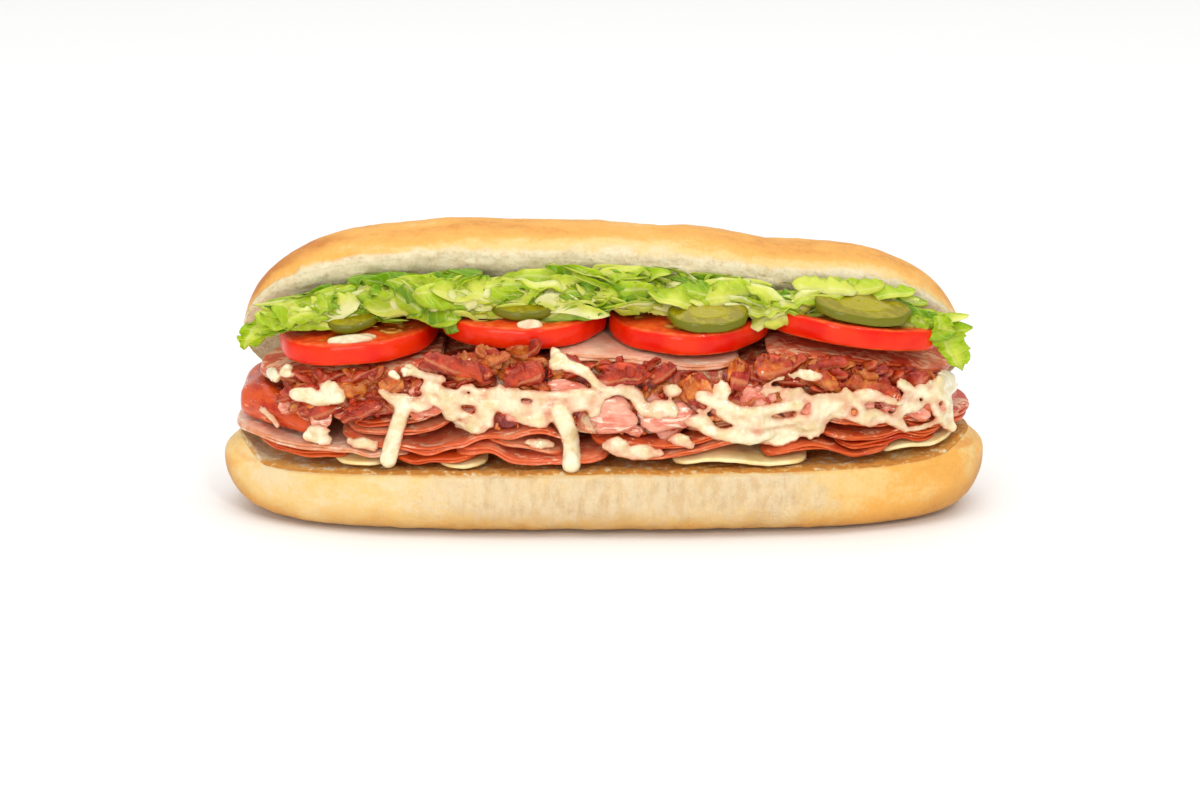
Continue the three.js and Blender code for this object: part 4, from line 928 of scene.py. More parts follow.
def per_body(values, ends=None):
    """Marks of many bodies in the order of loft's points: a body's ring points, then its two fan points."""
    values = values.reshape(len(values), -1)
    last = values[:, [0, -1]] if ends is None else np.full((len(values), 2), ends)
    return np.concatenate([values, last], axis=1).ravel()


BITE_MESH = (26, 34)
BITE_STRIPS = 3
BITE_STRIP_THICK = 2.3
BITE_STRIP_MESH = (26, 10)
SCRAP_MESH = (15, 6)
CRUMB_MESH = (7, 9)


def make_bite(number, floor, material):
    """A chunk: a ball pressed towards a box and swollen unevenly. On bacon, bent strips lap over it."""
    name, x, z, length, height, turn, squareness = BITES[number]
    seed = BITE_SEED + number
    draw = np.random.default_rng(900 + seed)
    bacon = name.startswith("bacon")
    unit = ball(*BITE_MESH)
    swell = 1 + 0.16 * ripple(unit[..., 0] * 3, unit[..., 2] * 3 + unit[..., 1] * 2, seed)
    norm = (np.abs(unit) ** squareness).sum(-1)
    core = unit * (swell * norm ** (-1 / squareness))[..., None] * np.array([length, BITE_DEPTH, height]) / 2
    shifted = core + [0, 0, 50.0 * number]
    core = core + unit * (0.5 * cloud(shifted, 5, 91, 3))[..., None]
    parts = [loft(core * (0.86 if bacon else 1.0))]
    core_points = len(parts[0][0])
    rim = [np.full(core_points, NO_RIM)]
    cross = [np.full(core_points, 0.3)]
    tone = [np.full(core_points, (seed * 0.618) % 1)]
    if bacon:
        lengths = (0.75 * length, 1.02 * length)
        widths = (0.6 * height, 0.95 * height)
        strips, _, share = ribbon_bodies(draw, BITE_STRIPS, lengths, widths, BITE_STRIP_THICK,
                                         curl=0.12 * length, wave=1.0, frill=0.3, blunt=(6, 12),
                                         mesh=BITE_STRIP_MESH)
        one = picker(draw, BITE_STRIPS)
        strips = turn_about(strips, 0, one(1.0, 2.0))
        strips = turn_about(strips, 1, one(-0.22, 0.22))
        behind = np.linspace(-0.42, 0.1, BITE_STRIPS)[:, None, None] * BITE_DEPTH
        spot = np.stack([one(-0.12, 0.12) * length, behind, one(-0.2, 0.2) * height], -1)
        parts.append(loft(strips + spot))
        rim.append(per_body((1 - np.abs(share)) * 0.4 * height, 0.2))
        cross.append(per_body(share))
        tone.append(per_body(0 * share + (one(-0.25, 0.25) + seed * 0.618) % 1))
    angle = math.radians(turn)
    lift = max(z, float(floor(np.array(x))) + height / 2 + abs(math.sin(angle)) * length / 2)
    centre = np.array([x, float(front_y(np.array(float(x)), BITE_INSET)), lift])
    parts = [(turn_about(points, 1, -angle) + centre, quads, fans) for points, quads, fans in parts]
    make_piece(name, parts, material, "bacon" if bacon else "ham", [name], rim=np.concatenate(rim),
               cross=np.concatenate(cross), tone=np.concatenate(tone))


def slope_place(x, share, floor):
    """Y and Z of a place on the front slope of the filling: share 0 at its foot, 1 at its brow."""
    inset = along(CHEESE_FRONT, x)
    low = floor(x) + SHEET_GAP
    foot = front_y(x, inset + 1)
    brow = front_y(x, np.maximum(inset + 4, 14.4))
    high = np.maximum(low + 1, along(CHEESE_CEILING, x))
    return foot + (brow - foot) * np.minimum(share, 1) ** 1.5, low + (high - low) * share


def make_scraps(name, material, slot, floor, seed, count, lengths, widths, thick, outward, shares, spans):
    """Torn strips scattered over the front slope, each turned its own way with its face towards the front.
    Spans are stretches of X, shares are places from foot to brow, and outward is how far they stand off."""
    draw = np.random.default_rng(seed)
    one = picker(draw, count)
    x = draw.uniform(*np.array(spans)[draw.integers(len(spans), size=count)].T)
    y, z = slope_place(x, draw.uniform(*shares, count), floor)
    strips, _, share = ribbon_bodies(draw, count, lengths, widths, thick, curl=1.6, wave=0.9, frill=0.3,
                                     blunt=(4, 10), mesh=SCRAP_MESH)
    strips = turn_about(strips, 0, one(0.6, 1.8))
    strips = turn_about(strips, 2, one(-0.4, 0.4))
    strips = turn_about(strips, 1, one(-0.7, 0.7))
    place = np.stack([x, y - outward * draw.uniform(0.2, 1.1, count), z], -1)[:, None, None, :]
    make_piece(name, [loft(strips + place)], material, slot, [], rim=per_body((1 - np.abs(share)) * 2.5, 0.2),
               cross=per_body(share), tone=per_body(0 * share + one(0, 1)))


def make_crumbs(name, material, slot, floor, seed, count, sizes, outward):
    """Crumbs scattered over the front slope: uneven balls, each of its own size, flatness and turn."""
    draw = np.random.default_rng(seed)
    unit = ball(*CRUMB_MESH)[None]
    one = picker(draw, count)
    x = draw.uniform(BED_FROM + 5, BED_TO - 8, count)
    y, z = slope_place(x, draw.uniform(0.05, 0.98, count), floor)
    length = draw.uniform(*sizes, count)
    depth = length * draw.uniform(0.4, 0.7, count)
    height = length * draw.uniform(0.4, 0.8, count)
    size = np.stack([length, depth, height], -1) / 2
    own = draw.uniform(0, 500, (count, 1, 1, 3))
    body = unit * (1 + 0.3 * noise(unit * 1.5 + own, 1.1, seed))[..., None] * size[:, None, None]
    body = turn_about(body, 1, one(-1.5, 1.5))
    place = np.stack([x, y - outward * draw.uniform(0.1, 1.2, count), z], -1)[:, None, None, :]
    flat = 0 * body[..., 0]
    make_piece(name, [loft(body + place)], material, slot, [], rim=per_body(flat + NO_RIM),
               cross=per_body(flat + one(-1, 1)), tone=per_body(flat + one(0, 1)))


# ------------------------------------------------------------------ melted cheese

def filling_skin(floor):
    """The mass behind the chunks: a slope from its foot to its brow, its top and its underside, carried
    along X."""
    x = np.linspace(BED_FROM, BED_TO, 300)[:, None]
    inset = along(CHEESE_FRONT, x)

    def low(y):
        """Height of the pile below."""
        return floor(x[:, 0])[:, None] + SHEET_GAP + SLOPE * (y - LOWER_PIVOT_Y)

    def high(y):
        """Height of the mass's top."""
        return np.maximum(low(y) + 1, along(CHEESE_CEILING, x) + SLOPE * (y - UPPER_PIVOT_Y))

    foot = front_y(x, inset + 2)
    brow = front_y(x, np.maximum(inset + 5, 15.4))
    back = np.minimum(back_y(x, 6), lid_face_y(x, high(20 + 0 * x)))
    back = np.maximum(brow + 1, back)
    rise = np.linspace(0, 1, 44)[None]
    slope_y = foot + (brow - foot) * rise ** 1.5
    slope_z = low(foot) + (high(brow) - low(foot)) * rise
    run = np.linspace(0, 1, 12)[None, 1:]
    top_y = brow + (back - brow) * run
    under_y = back + (foot - back) * np.linspace(0, 1, 10)[None, :-1]
    y = np.concatenate([slope_y, top_y, under_y], 1)
    z = np.concatenate([slope_z, high(top_y), low(under_y)], 1)
    rings = np.stack([x + 0 * y, y, z], -1)
    front_part = np.concatenate([0 * slope_y + 1, 0 * top_y, 0 * under_y], 1)
    shape = 1.0 * cloud(rings, 8, 101, 3) + 0.4 * noise(rings, 2.4, 104)
    rings[..., 1] -= shape * front_part
    return loft(close_ends(rings, x, BED_FROM, BED_TO, 7))


class Front:
    """The frontmost surface of the filling: the least y of its points in every square millimetre of x and z.
    Each gap takes its frontmost neighbour, and then means of neighbours soften the steps, but no place ends
    up over half a millimetre behind where it was."""

    FROM, TO, LOW, HIGH, EMPTY = -146, 146, 20, 76, 60.0
    BRIDGING, SOFTENING = 40, 60

    def __init__(self, pieces):
        self.y = np.full((self.TO - self.FROM, self.HIGH - self.LOW), self.EMPTY)
        for piece in pieces:
            x, y, z = point_places(piece)
            i = np.floor(x - self.FROM).astype(int)
            k = np.floor(z - self.LOW).astype(int)
            inside = (i >= 0) & (i < self.y.shape[0]) & (k >= 0) & (k < self.y.shape[1])
            np.minimum.at(self.y, (i[inside], k[inside]), y[inside])
        for _ in range(self.BRIDGING):
            near = np.min(self.neighbours(), axis=0)
            self.y = np.where(self.y > self.EMPTY - 1, near, self.y)
        raw = self.y
        for _ in range(self.SOFTENING):
            self.y = np.minimum((self.y + np.mean(self.neighbours(), axis=0)) / 2, raw + 0.5)

    def neighbours(self):
        """Nine copies of the grid, each shifted by a step or none."""
        wide = np.pad(self.y, 1, mode="edge")
        rows, columns = self.y.shape
        return [wide[i:i + rows, k:k + columns] for i in range(3) for k in range(3)]

    def at(self, x, z):
        """Blend of the four grid values around a place."""
        i = np.clip(np.asarray(x, float) - self.FROM - 0.5, 0, self.y.shape[0] - 1.001)
        k = np.clip(np.asarray(z, float) - self.LOW - 0.5, 0, self.y.shape[1] - 1.001)
        a, b = np.floor(i).astype(int), np.floor(k).astype(int)
        u, v = i - a, k - b
        return ((1 - u) * (1 - v) * self.y[a, b] + u * (1 - v) * self.y[a + 1, b]
                + (1 - u) * v * self.y[a, b + 1] + u * v * self.y[a + 1, b + 1])


def path_distance(x, z, path):
    """Distance of points from a line through (x, z) places: the least over its straight pieces."""
    best = np.full(x.shape, 1e3)
    for (x0, z0), (x1, z1) in zip(path, path[1:]):
        run = (x1 - x0) ** 2 + (z1 - z0) ** 2
        share = np.clip(((x - x0) * (x1 - x0) + (z - z0) * (z1 - z0)) / run, 0, 1)
        best = np.minimum(best, np.hypot(x - x0 - share * (x1 - x0), z - z0 - share * (z1 - z0)))
    return best


# Spacing of the balls of cheese, the thinnest that stays, and the steepest front that holds any.
CHEESE_STEP = 1.05
CHEESE_THINNEST = 0.5
CHEESE_STEEPEST = 3.2
# Middle thickness of a pool, the half length from which pools have holes, and how far balls stand out as
# a share of their size.
POOL_THICK = 1.55
HOLED_POOL = 8
CHEESE_STANDS_OUT = 0.2
DRIP_STANDS_OUT = 0.3
DRIP_SHAPE = np.array([0.95, 0.62, 1.0])
CHEESE_VOXEL = 0.6
CHEESE_SMOOTHING = 9


def make_cheese(front, material):
    """Melted cheese draped over the front: small balls, bigger where strands and pools are thick, set close
    together along the frontmost surface and fused into one skin. Noise opens holes in the pools."""
    draw = np.random.default_rng(331)
    x, z = np.meshgrid(np.arange(-138, 140, CHEESE_STEP), np.arange(26, 71, CHEESE_STEP), indexing="ij")
    x = (x + draw.uniform(-0.3, 0.3, x.shape)).ravel()
    z = (z + draw.uniform(-0.3, 0.3, z.shape)).ravel()
    places = np.stack([x, z, 0 * x], -1)
    swell = 1 + 0.22 * noise(places, 6, 333)
    size = np.zeros(x.shape)
    for radius, path in STRANDS:
        cover = 1 - path_distance(x, z, path) / (radius * 1.08 * swell)
        size = np.maximum(size, radius * 0.8 * np.sqrt(np.clip(cover, 0, 1)) * (cover > 0.02))
    opening = fade(noise(places, 5.6, 337) + 0.4 * noise(places, 2.6, 339), -0.02, 0.34)
    for px, pz, half_x, half_z in POOLS:
        reach = np.hypot((x - px) / half_x, (z - pz) / half_z) + 0.2 * noise(places, 4.4, 341)
        cover = (1.06 - reach) * 1.3 - 1.15 * opening * (half_x > HOLED_POOL)
        size = np.maximum(size, POOL_THICK * np.sqrt(np.clip(cover, 0, 1)))
    along_x = front.at(x + 1, z) - front.at(x - 1, z)
    along_z = front.at(x, z + 1) - front.at(x, z - 1)
    steep = np.hypot(along_x, along_z) / 2
    used = (size > CHEESE_THINNEST) & (steep < CHEESE_STEEPEST)
    size = size * np.clip(0.75 + 0.35 * steep, 1, 1.7)
    x, z, size = x[used], z[used], size[used]
    y = front.at(x, z) - CHEESE_STANDS_OUT * size
    middles = np.stack([x, y, z], -1)[:, None, None, :]
    balls = ball(5, 7)[None] * np.maximum(size, 0.8)[:, None, None, None] + middles
    parts = [loft(balls)]
    round_end = ball(14, 20)
    for px, pz, half in DRIP_ENDS:
        py = float(front.at(px, pz)) - DRIP_STANDS_OUT * half
        parts.append(loft(round_end * (half * DRIP_SHAPE) + [px, py, pz]))
    melt = make_piece("cheese_melt", parts, material, "cheese", ["melted_cheese"])
    fuse(melt, CHEESE_VOXEL, CHEESE_SMOOTHING)
    x, y, z = point_places(melt)
    mark_points(melt.data, "depth", front.at(x, z) - y)


# Drops of dressing: x, y, tomato, half length, half depth, half height.
DRESSING_DROPS = [(-97, -32.2, 0, 8.4, 3.8, 2.2), (-92.4, -30.4, 0, 5, 2.8, 1.8),
                  (-28.4, -33.6, 1, 4.8, 3.2, 2.2)]


def make_dressing(tomatoes, material):
    """Drops of thick dressing lying on the tomatoes: balls flattened on their underside."""
    unit = ball(24, 34)
    parts = []
    for px, py, number, *half in DRESSING_DROPS:
        x, y, z, slope, lean = tomatoes[number]
        body = unit * np.array(half) * (1 + 0.14 * noise(unit * 2 + 5 * number, 1.3, 351)[..., None])
        body[..., 2] = np.maximum(body[..., 2], -0.3)
        on_top = z + TOMATO_THICK + slope * (py + body[..., 1] - y) + lean * (px + body[..., 0] - x)
        parts.append(loft(np.stack([px + body[..., 0], py + body[..., 1], on_top + body[..., 2]], -1)))
    make_piece("dressing_drops", parts, material, "dressing", [])


def fuse(piece, voxel, rounds):
    """Fuses overlapping parts into one skin of even small faces, then smooths it."""
    blend = piece.modifiers.new("fuse", "REMESH")
    blend.mode = "VOXEL"
    blend.voxel_size = voxel * MILLIMETRE
    blend.use_smooth_shade = True
    soften = piece.modifiers.new("soften", "SMOOTH")
    soften.factor = 0.5
    soften.iterations = rounds
    bpy.context.view_layer.update()
    done = piece.evaluated_get(bpy.context.evaluated_depsgraph_get())
    mesh = bpy.data.meshes.new_from_object(done)
    old = piece.data
    piece.modifiers.clear()
    mesh.name = old.name
    piece.data = mesh
    bpy.data.meshes.remove(old)


# ------------------------------------------------------------------ lettuce

def lettuce_core():
    """The shaded inside of the heap, coloured dark green as painted shade: a lumpy long mound under the
    shreds.
    """
    x = np.linspace(LETTUCE_FROM, LETTUCE_TO, 220)[:, None]
    low = along(LETTUCE_UNDERSIDE, x) + 0.6
    high = np.maximum(along(LETTUCE_CREST, x), low + 3) - 2.5
    turn = np.linspace(0, 2 * np.pi, 64, endpoint=False)[None]
    back = np.minimum(lid_face_y(x, (low + high) / 2), back_y(x, 8)) - 1
    front = along(LETTUCE_FRONT, x) + 2.5
    middle_y = (front + back) / 2
    y = middle_y - (back - front) / 2 * signed_power(np.cos(turn), 0.6)
    z = (low + high) / 2 + (high - low) / 2 * signed_power(np.sin(turn), 0.6)
    y = np.minimum(y, lid_face_y(x, z) - 0.5)
    rings = np.stack([x + 0 * y, y, z], -1)
    rings = rings + grid_normals(rings) * (1.1 * cloud(rings, 7, 131, 3))[..., None]
    return loft(close_ends(rings, x, LETTUCE_FROM, LETTUCE_TO, 10))


# Gaps between the tomatoes: X of the middle one, how far the others lie from it, and how much further
# leaves may hang down and forward in them.
MIDDLE_GAP_X = 1
SIDE_GAPS_ASIDE = 64
GAP_REACH = 5
LEAF_THICK = 0.5
LEAF_CLEAR_OF_LID = 0.4
LEAF_MESH = (21, 7)
# Torn leaves and shreds over the heap: how many, lengths, widths, curl, wave at the edge, raggedness.
LETTUCE_CUTS = [(96, (22, 50), (6, 13), 3.0, 1.0, 0.16), (56, (12, 28), (4, 8), 3.4, 0.7, 0.3),
                (80, (16, 38), (1.3, 2.8), 4.5, 0.3, 0.15)]
# Leaves on the pickles' backs: pickle, place across and behind its middle as shares of its half sizes,
# length, width, turn, lean, greenness.
COVERS = [(0, -0.5, 0.5, 20, 7, 0.2, 0.9, 0.9), (0, 0.5, 0.7, 22, 7, -0.2, 0.8, 0.2),
          (2, -0.75, 0.4, 24, 8, 0.25, 0.8, 0.4), (2, 0.3, 0.7, 26, 9, -0.12, 1.0, 0.3),
          (2, -0.1, 0.9, 24, 8, 0.1, 0.9, 0.7), (3, -0.75, 0.6, 24, 8, 0.1, 0.8, 0.2),
          (3, -0.1, 0.85, 24, 6.5, -0.1, 0.7, 0.4), (3, 0.6, 0.75, 20, 6, -0.2, 0.6, 0.5),
          (3, -0.4, 1.0, 22, 6, 0.1, 0.7, 0.3)]


def clear_of_lid(x, y, z):
    """Y of leaf points, those that would pass through the lid's cut face pressed flat against it."""
    return held_below(y, lid_face_y(x, z) + CLEAR_OF_LID - LEAF_CLEAR_OF_LID, 0.1)


def cover_leaves(draw, pickles):
    """Torn leaves leaning on the pickles, so that only the pickles' fronts show."""
    number, across, behind, length, width, turn, lean, green = np.array(COVERS).T
    sizes = [(0.9 * length, 1.1 * length), (0.9 * width, 1.1 * width)]
    points, ahead, share = ribbon_bodies(draw, len(COVERS), *sizes, LEAF_THICK, curl=2.0, wave=0.8,
                                         frill=0.25, blunt=(2, 5), mesh=LEAF_MESH)
    points = turn_about(turn_about(points, 0, lean[:, None, None]), 1, turn[:, None, None])
    px, py, top, reach, depth, slope, tilt = np.array(pickles)[number.astype(int)].T
    lift = top + slope * behind * depth + tilt * across * reach + 0.3 * width * np.sin(lean) + 0.6
    points = points + np.stack([px + across * reach, py + behind * depth, lift], -1)[:, None, None]
    points[..., 1] = clear_of_lid(*np.moveaxis(points, -1, 0))
    return points, ahead, share, green[:, None, None] + 0.2 * share


def lettuce_bodies(draw, cut):
    """Torn leaves laid over the front and top of the heap like shingles, kept off the tomatoes and the lid.
    Between two tomatoes they may hang lower and further forward."""
    count, lengths, widths, curl, wave, frill = cut
    points, ahead, share = ribbon_bodies(draw, count, lengths, widths, LEAF_THICK, curl, wave, frill,
                                         blunt=(1.5, 5), mesh=LEAF_MESH)
    one = picker(draw, count)
    about = one(-0.45, 0.45) + np.pi * (one(0, 1) > 0.45)
    points = turn_about(points, 2, about)
    points = turn_about(points, 0, one(0.3, 1.4))
    points = turn_about(points, 1, one(-0.34, 0.34))
    x = one(LETTUCE_FROM + 5, LETTUCE_TO - 5)
    place = one(0, 1) ** 0.9
    low = along(LETTUCE_UNDERSIDE, x)
    high = along(LETTUCE_CREST, x)
    px = x + points[..., 0]
    py = along(LETTUCE_FRONT, x) - 1 + 8 * place ** 2 + one(-2.0, 1.0) + points[..., 1]
    pz = low + 1.5 + (high - low - 2.2) * place + points[..., 2]
    from_middle = np.abs(px - MIDDLE_GAP_X)
    between = np.clip(fade(np.abs(from_middle - SIDE_GAPS_ASIDE), 14, 4) + fade(from_middle, 12, 3), 0, 1)
    lowest = along(LETTUCE_UNDERSIDE, px) - 0.7 - GAP_REACH * between
    frontmost = along(LETTUCE_FRONT, px) - 2.5 - GAP_REACH * between
    py = held_above(py, frontmost, 0.3)
    pz = held_below(held_above(pz, lowest, 0.25), along(LETTUCE_CREST, px) + 2.6, 0.3)
    py = clear_of_lid(px, py, pz)
    tone = one(0, 1) ** 1.15
    # Greenness: a random tone per leaf, paler towards its straight rib edge, and darker green towards the
    # crest under the lid as painted shade.
    leaf = -0.05 + 0.9 * tone + 0.26 * share + 0.42 * fade(place, 0.5, 1.0)
    return np.stack([px, py, pz], -1), ahead, share, leaf


def make_lettuce(pickles, material):
    """The heap: its shaded core, then torn leaves and shreds lying over it, and leaves over the pickles."""
    draw = np.random.default_rng(141)
    core = lettuce_core()
    parts = [core]
    flat = np.ones(len(core[0]))
    # The core carries full painted shade: dark green for the heap's shaded inside.
    marks = {"leaf": [0.9 * flat], "deep": [flat], "run": [0 * flat], "cross": [0 * flat]}
    layers = [lettuce_bodies(draw, cut) for cut in LETTUCE_CUTS] + [cover_leaves(draw, pickles)]
    for points, ahead, share, leaf in layers:
        parts.append(loft(points))
        for mark, values in (("leaf", leaf), ("deep", 0 * share), ("run", ahead), ("cross", share)):
            marks[mark].append(per_body(values))
    make_piece("lettuce_heap", parts, material, "lettuce", ["lettuce"],
               **{mark: np.concatenate(values) for mark, values in marks.items()})


def make_leaf(name, material, top, tip, width, seed):
    """A loose frilled leaf: a strip from its root to its tip whose edges gather into ruffles."""
    t = np.linspace(0, 1, 90)[:, None]
    side = np.concatenate([np.linspace(-1, 1, 26), np.linspace(1, -1, 26)])[None]
    face = np.concatenate([np.ones(26), -np.ones(26)])[None]
    top = np.array(top, float)
    tip = np.array(tip, float)
    middle = top + (tip - top) * t
    reach = width * np.sin(np.pi * (0.16 + 0.82 * t) ** 1.2) * (1 + 0.1 * np.sin(t * 31 + side * 2 + seed))
    ruffle = 0.7 * np.abs(side) ** 1.6
    wave = 1.7 * np.sin(t * 24 + side * 1.5 + seed) * ruffle + 0.7 * np.sin(t * 53 + side * 3) * ruffle
    px = middle[:, :1] + side * reach
    py = middle[:, 1:2] + 1.2 * np.sin(t * 7 + side) + wave - face * 0.25
    pz = middle[:, 2:] + 1.3 * np.cos(t * 21 - side * 3 + seed) * ruffle
    rings = np.stack([px + 0 * py, py, pz + 0 * py], -1)
    leaf = np.clip(0.35 + 0.4 * np.abs(side) + 0 * t, 0, 1)
    make_piece(name, [loft(rings)], material, "lettuce", [name], leaf=with_ends(leaf, 0.4),
               deep=with_ends(0 * leaf), run=with_ends(60 * t + 0 * side), cross=with_ends(side + 0 * t))


# ------------------------------------------------------------------ materials

def srgb(red, green, blue):
    """Linear colour from 0 to 255 display values."""
    linear = []
    for value in (red, green, blue):
        share = value / 255
        linear.append(share / 12.92 if share <= 0.04045 else ((share + 0.055) / 1.055) ** 2.4)
    return (*linear, 1.0)


class Finish:
    """A material under construction. Each method adds a node and returns its output; sockets named here
    take one number or colour for the whole piece. Patterns have sizes in millimetres."""

    def __init__(self, name, roughness, **sockets):
        self.material = bpy.data.materials.new(name)
        self.material.use_nodes = True
        self.nodes = self.material.node_tree.nodes
        self.links = self.material.node_tree.links
        self.shader = self.nodes["Principled BSDF"]
        self.shader.inputs["Roughness"].default_value = roughness
        for socket, value in sockets.items():
            self.shader.inputs[socket.replace("_", " ")].default_value = value
        self.place = self.nodes.new("ShaderNodeTexCoord").outputs["Object"]

    def join(self, source, socket):
        """Sets a socket to a number or colour, or links it to an output."""
        if isinstance(source, (int, float, tuple)):
            socket.default_value = source
        else:
            self.links.new(source, socket)

    def noise(self, size_mm, detail=3.0, rough=0.55, stretch=None, warp=0.0):
        """Noise whose patches are about size_mm across, longer along an axis whose stretch is under 1."""
        node = self.nodes.new("ShaderNodeTexNoise")
        node.inputs["Scale"].default_value = 1000.0 / size_mm
        node.inputs["Detail"].default_value = detail
        node.inputs["Roughness"].default_value = rough
        node.inputs["Distortion"].default_value = warp
        self.links.new(self.mapped(stretch), node.inputs["Vector"])
        return node.outputs["Fac"]

    def mapped(self, stretch):
        """Place on the piece, scaled along each axis when asked."""
        if stretch is None:
            return self.place
        node = self.nodes.new("ShaderNodeMapping")
        node.inputs["Scale"].default_value = stretch
        self.links.new(self.place, node.inputs["Vector"])
        return node.outputs["Vector"]

    def cells(self, size_mm):
        """Distance from the nearest of scattered points about size_mm apart: 0 at the points."""
        node = self.nodes.new("ShaderNodeTexVoronoi")
        node.inputs["Scale"].default_value = 1000.0 / size_mm
        self.links.new(self.place, node.inputs["Vector"])
        return node.outputs["Distance"]

    def mark(self, name):
        """A number that the piece's points carry under this name."""
        node = self.nodes.new("ShaderNodeAttribute")
        node.attribute_name = name
        return node.outputs["Fac"]

    def step(self, value, low, high, start=0.0, end=1.0):
        """Smooth change from start to end as the value goes from low to high."""
        node = self.nodes.new("ShaderNodeMapRange")
        node.interpolation_type = "SMOOTHSTEP"
        self.join(value, node.inputs["Value"])
        for socket, number in (("From Min", low), ("From Max", high), ("To Min", start), ("To Max", end)):
            node.inputs[socket].default_value = number
        return node.outputs["Result"]

    def math(self, kind, a, b=0.0):
        """One sum, product or other operation on one or two numbers."""
        node = self.nodes.new("ShaderNodeMath")
        node.operation = kind
        self.join(a, node.inputs[0])
        self.join(b, node.inputs[1])
        return node.outputs[0]

    def sway(self, value, pattern, amount):
        """The value moved up and down by a pattern around 0.5, times an amount."""
        return self.math("ADD", value, self.math("MULTIPLY", self.math("SUBTRACT", pattern, 0.5), amount))

    def mix(self, share, first, second):
        """Colour that goes from the first to the second as the share goes from 0 to 1."""
        node = self.nodes.new("ShaderNodeMix")
        node.data_type = "RGBA"
        self.join(share, node.inputs["Factor"])
        self.join(first, node.inputs["A"])
        self.join(second, node.inputs["B"])
        return node.outputs["Result"]

    def colour(self, source):
        """Gives the finish its colour."""
        self.join(source, self.shader.inputs["Base Color"])

    def rough(self, source):
        """Gives the finish a roughness that changes over the piece."""
        self.join(source, self.shader.inputs["Roughness"])

    def bump(self, height, depth_mm):
        """Relief of the given depth, laid over any relief already there."""
        node = self.nodes.new("ShaderNodeBump")
        node.inputs["Distance"].default_value = depth_mm * MILLIMETRE
        self.join(height, node.inputs["Height"])
        socket = self.shader.inputs["Normal"]
        if socket.is_linked:
            self.links.new(socket.links[0].from_socket, node.inputs["Normal"])
        self.links.new(node.outputs["Normal"], socket)


def bread_finish():
    """Soft roll: cream to golden crust by how far it is baked, floury mottling, open crumb on the cut with
    painted shade in its pores and hollows.
    """
    look = Finish("soft roll", 0.62, Subsurface_Weight=0.06, Subsurface_Scale=0.004,
                  Subsurface_Radius=(1.0, 0.6, 0.3), Specular_IOR_Level=0.32)
    patches = look.noise(10, 4, 0.6)
    freckles = look.noise(1.6, 3, 0.6)
    blisters = look.noise(4.4, 5, 0.7, (0.5, 1, 1))
    bake = look.sway(look.sway(look.sway(look.mark("bake"), patches, 0.5), freckles, 0.42), blisters, 0.62)
    crust = look.mix(look.step(bake, 0.0, 0.34), srgb(230, 206, 160), srgb(232, 196, 126))
    crust = look.mix(look.step(bake, 0.3, 0.7), crust, srgb(234, 172, 80))
    crust = look.mix(look.step(bake, 0.64, 1.5), crust, srgb(196, 116, 30))
    ragged_edge = look.math("MULTIPLY", look.math("SUBTRACT", look.noise(7, 4, 0.65), 0.5), 1.3)
    near_tear = look.step(look.mark("torn"), 0.02, 0.3)
    torn = look.math("ADD", look.mark("torn"), look.math("MULTIPLY", ragged_edge, near_tear))
    strands = look.step(look.noise(4, 5, 0.7, (1, 1, 0.4)), 0.4, 0.66)
    torn_crumb = look.mix(strands, srgb(234, 212, 172), srgb(222, 190, 142))
    crust = look.mix(look.step(torn, 0.2, 0.9), crust, torn_crumb)
    toast = look.math("MULTIPLY", look.mark("toast"), look.step(look.noise(3.6, 4, 0.6), 0.26, 0.56))
    crust = look.mix(look.math("MULTIPLY", look.mark("shade"), 0.62), crust, srgb(180, 126, 62))
    crust = look.mix(look.step(toast, 0.1, 0.6), crust, srgb(224, 160, 80))
    # Painted shade: the crumb turns darker at its pores, the holes that shade falls into.
    pores = look.math("SUBTRACT", 1.0, look.step(look.cells(2.2), 0.08, 0.4))
    crumb = look.mix(look.math("MULTIPLY", pores, 0.5), srgb(252, 238, 200), srgb(232, 206, 152))
    crumb = look.mix(look.step(look.noise(6, 5, 0.65), 0.42, 0.75, 0, 0.7), crumb, srgb(230, 204, 150))
    crumb = look.mix(look.step(toast, 0.1, 0.6), crumb, srgb(236, 176, 90))
    # Painted shade: patches of darker crumb in its deeper hollows.
    hollows = look.step(look.noise(3.2, 5, 0.75), 0.5, 0.7, 0, 0.5)
    crumb = look.mix(hollows, crumb, srgb(204, 174, 112))
    crumb = look.mix(look.step(toast, 0.5, 0.95, 0, 0.8), crumb, srgb(214, 136, 50))
    cut = look.step(look.mark("crumb"), 0.3, 0.8)
    look.colour(look.mix(cut, crust, crumb))
    look.rough(look.step(cut, 0.0, 1.0, 0.44, 0.85))
    look.bump(look.noise(0.9, 4, 0.6), 0.24)
    look.bump(look.noise(3.4, 4, 0.6), 0.7)
    look.bump(look.math("MULTIPLY", look.noise(2.6, 6, 0.75), look.math("ADD", torn, 0.14)), 1.2)
    look.bump(look.math("MULTIPLY", look.noise(2.4, 6, 0.8), cut), 1.2)
    return look.material


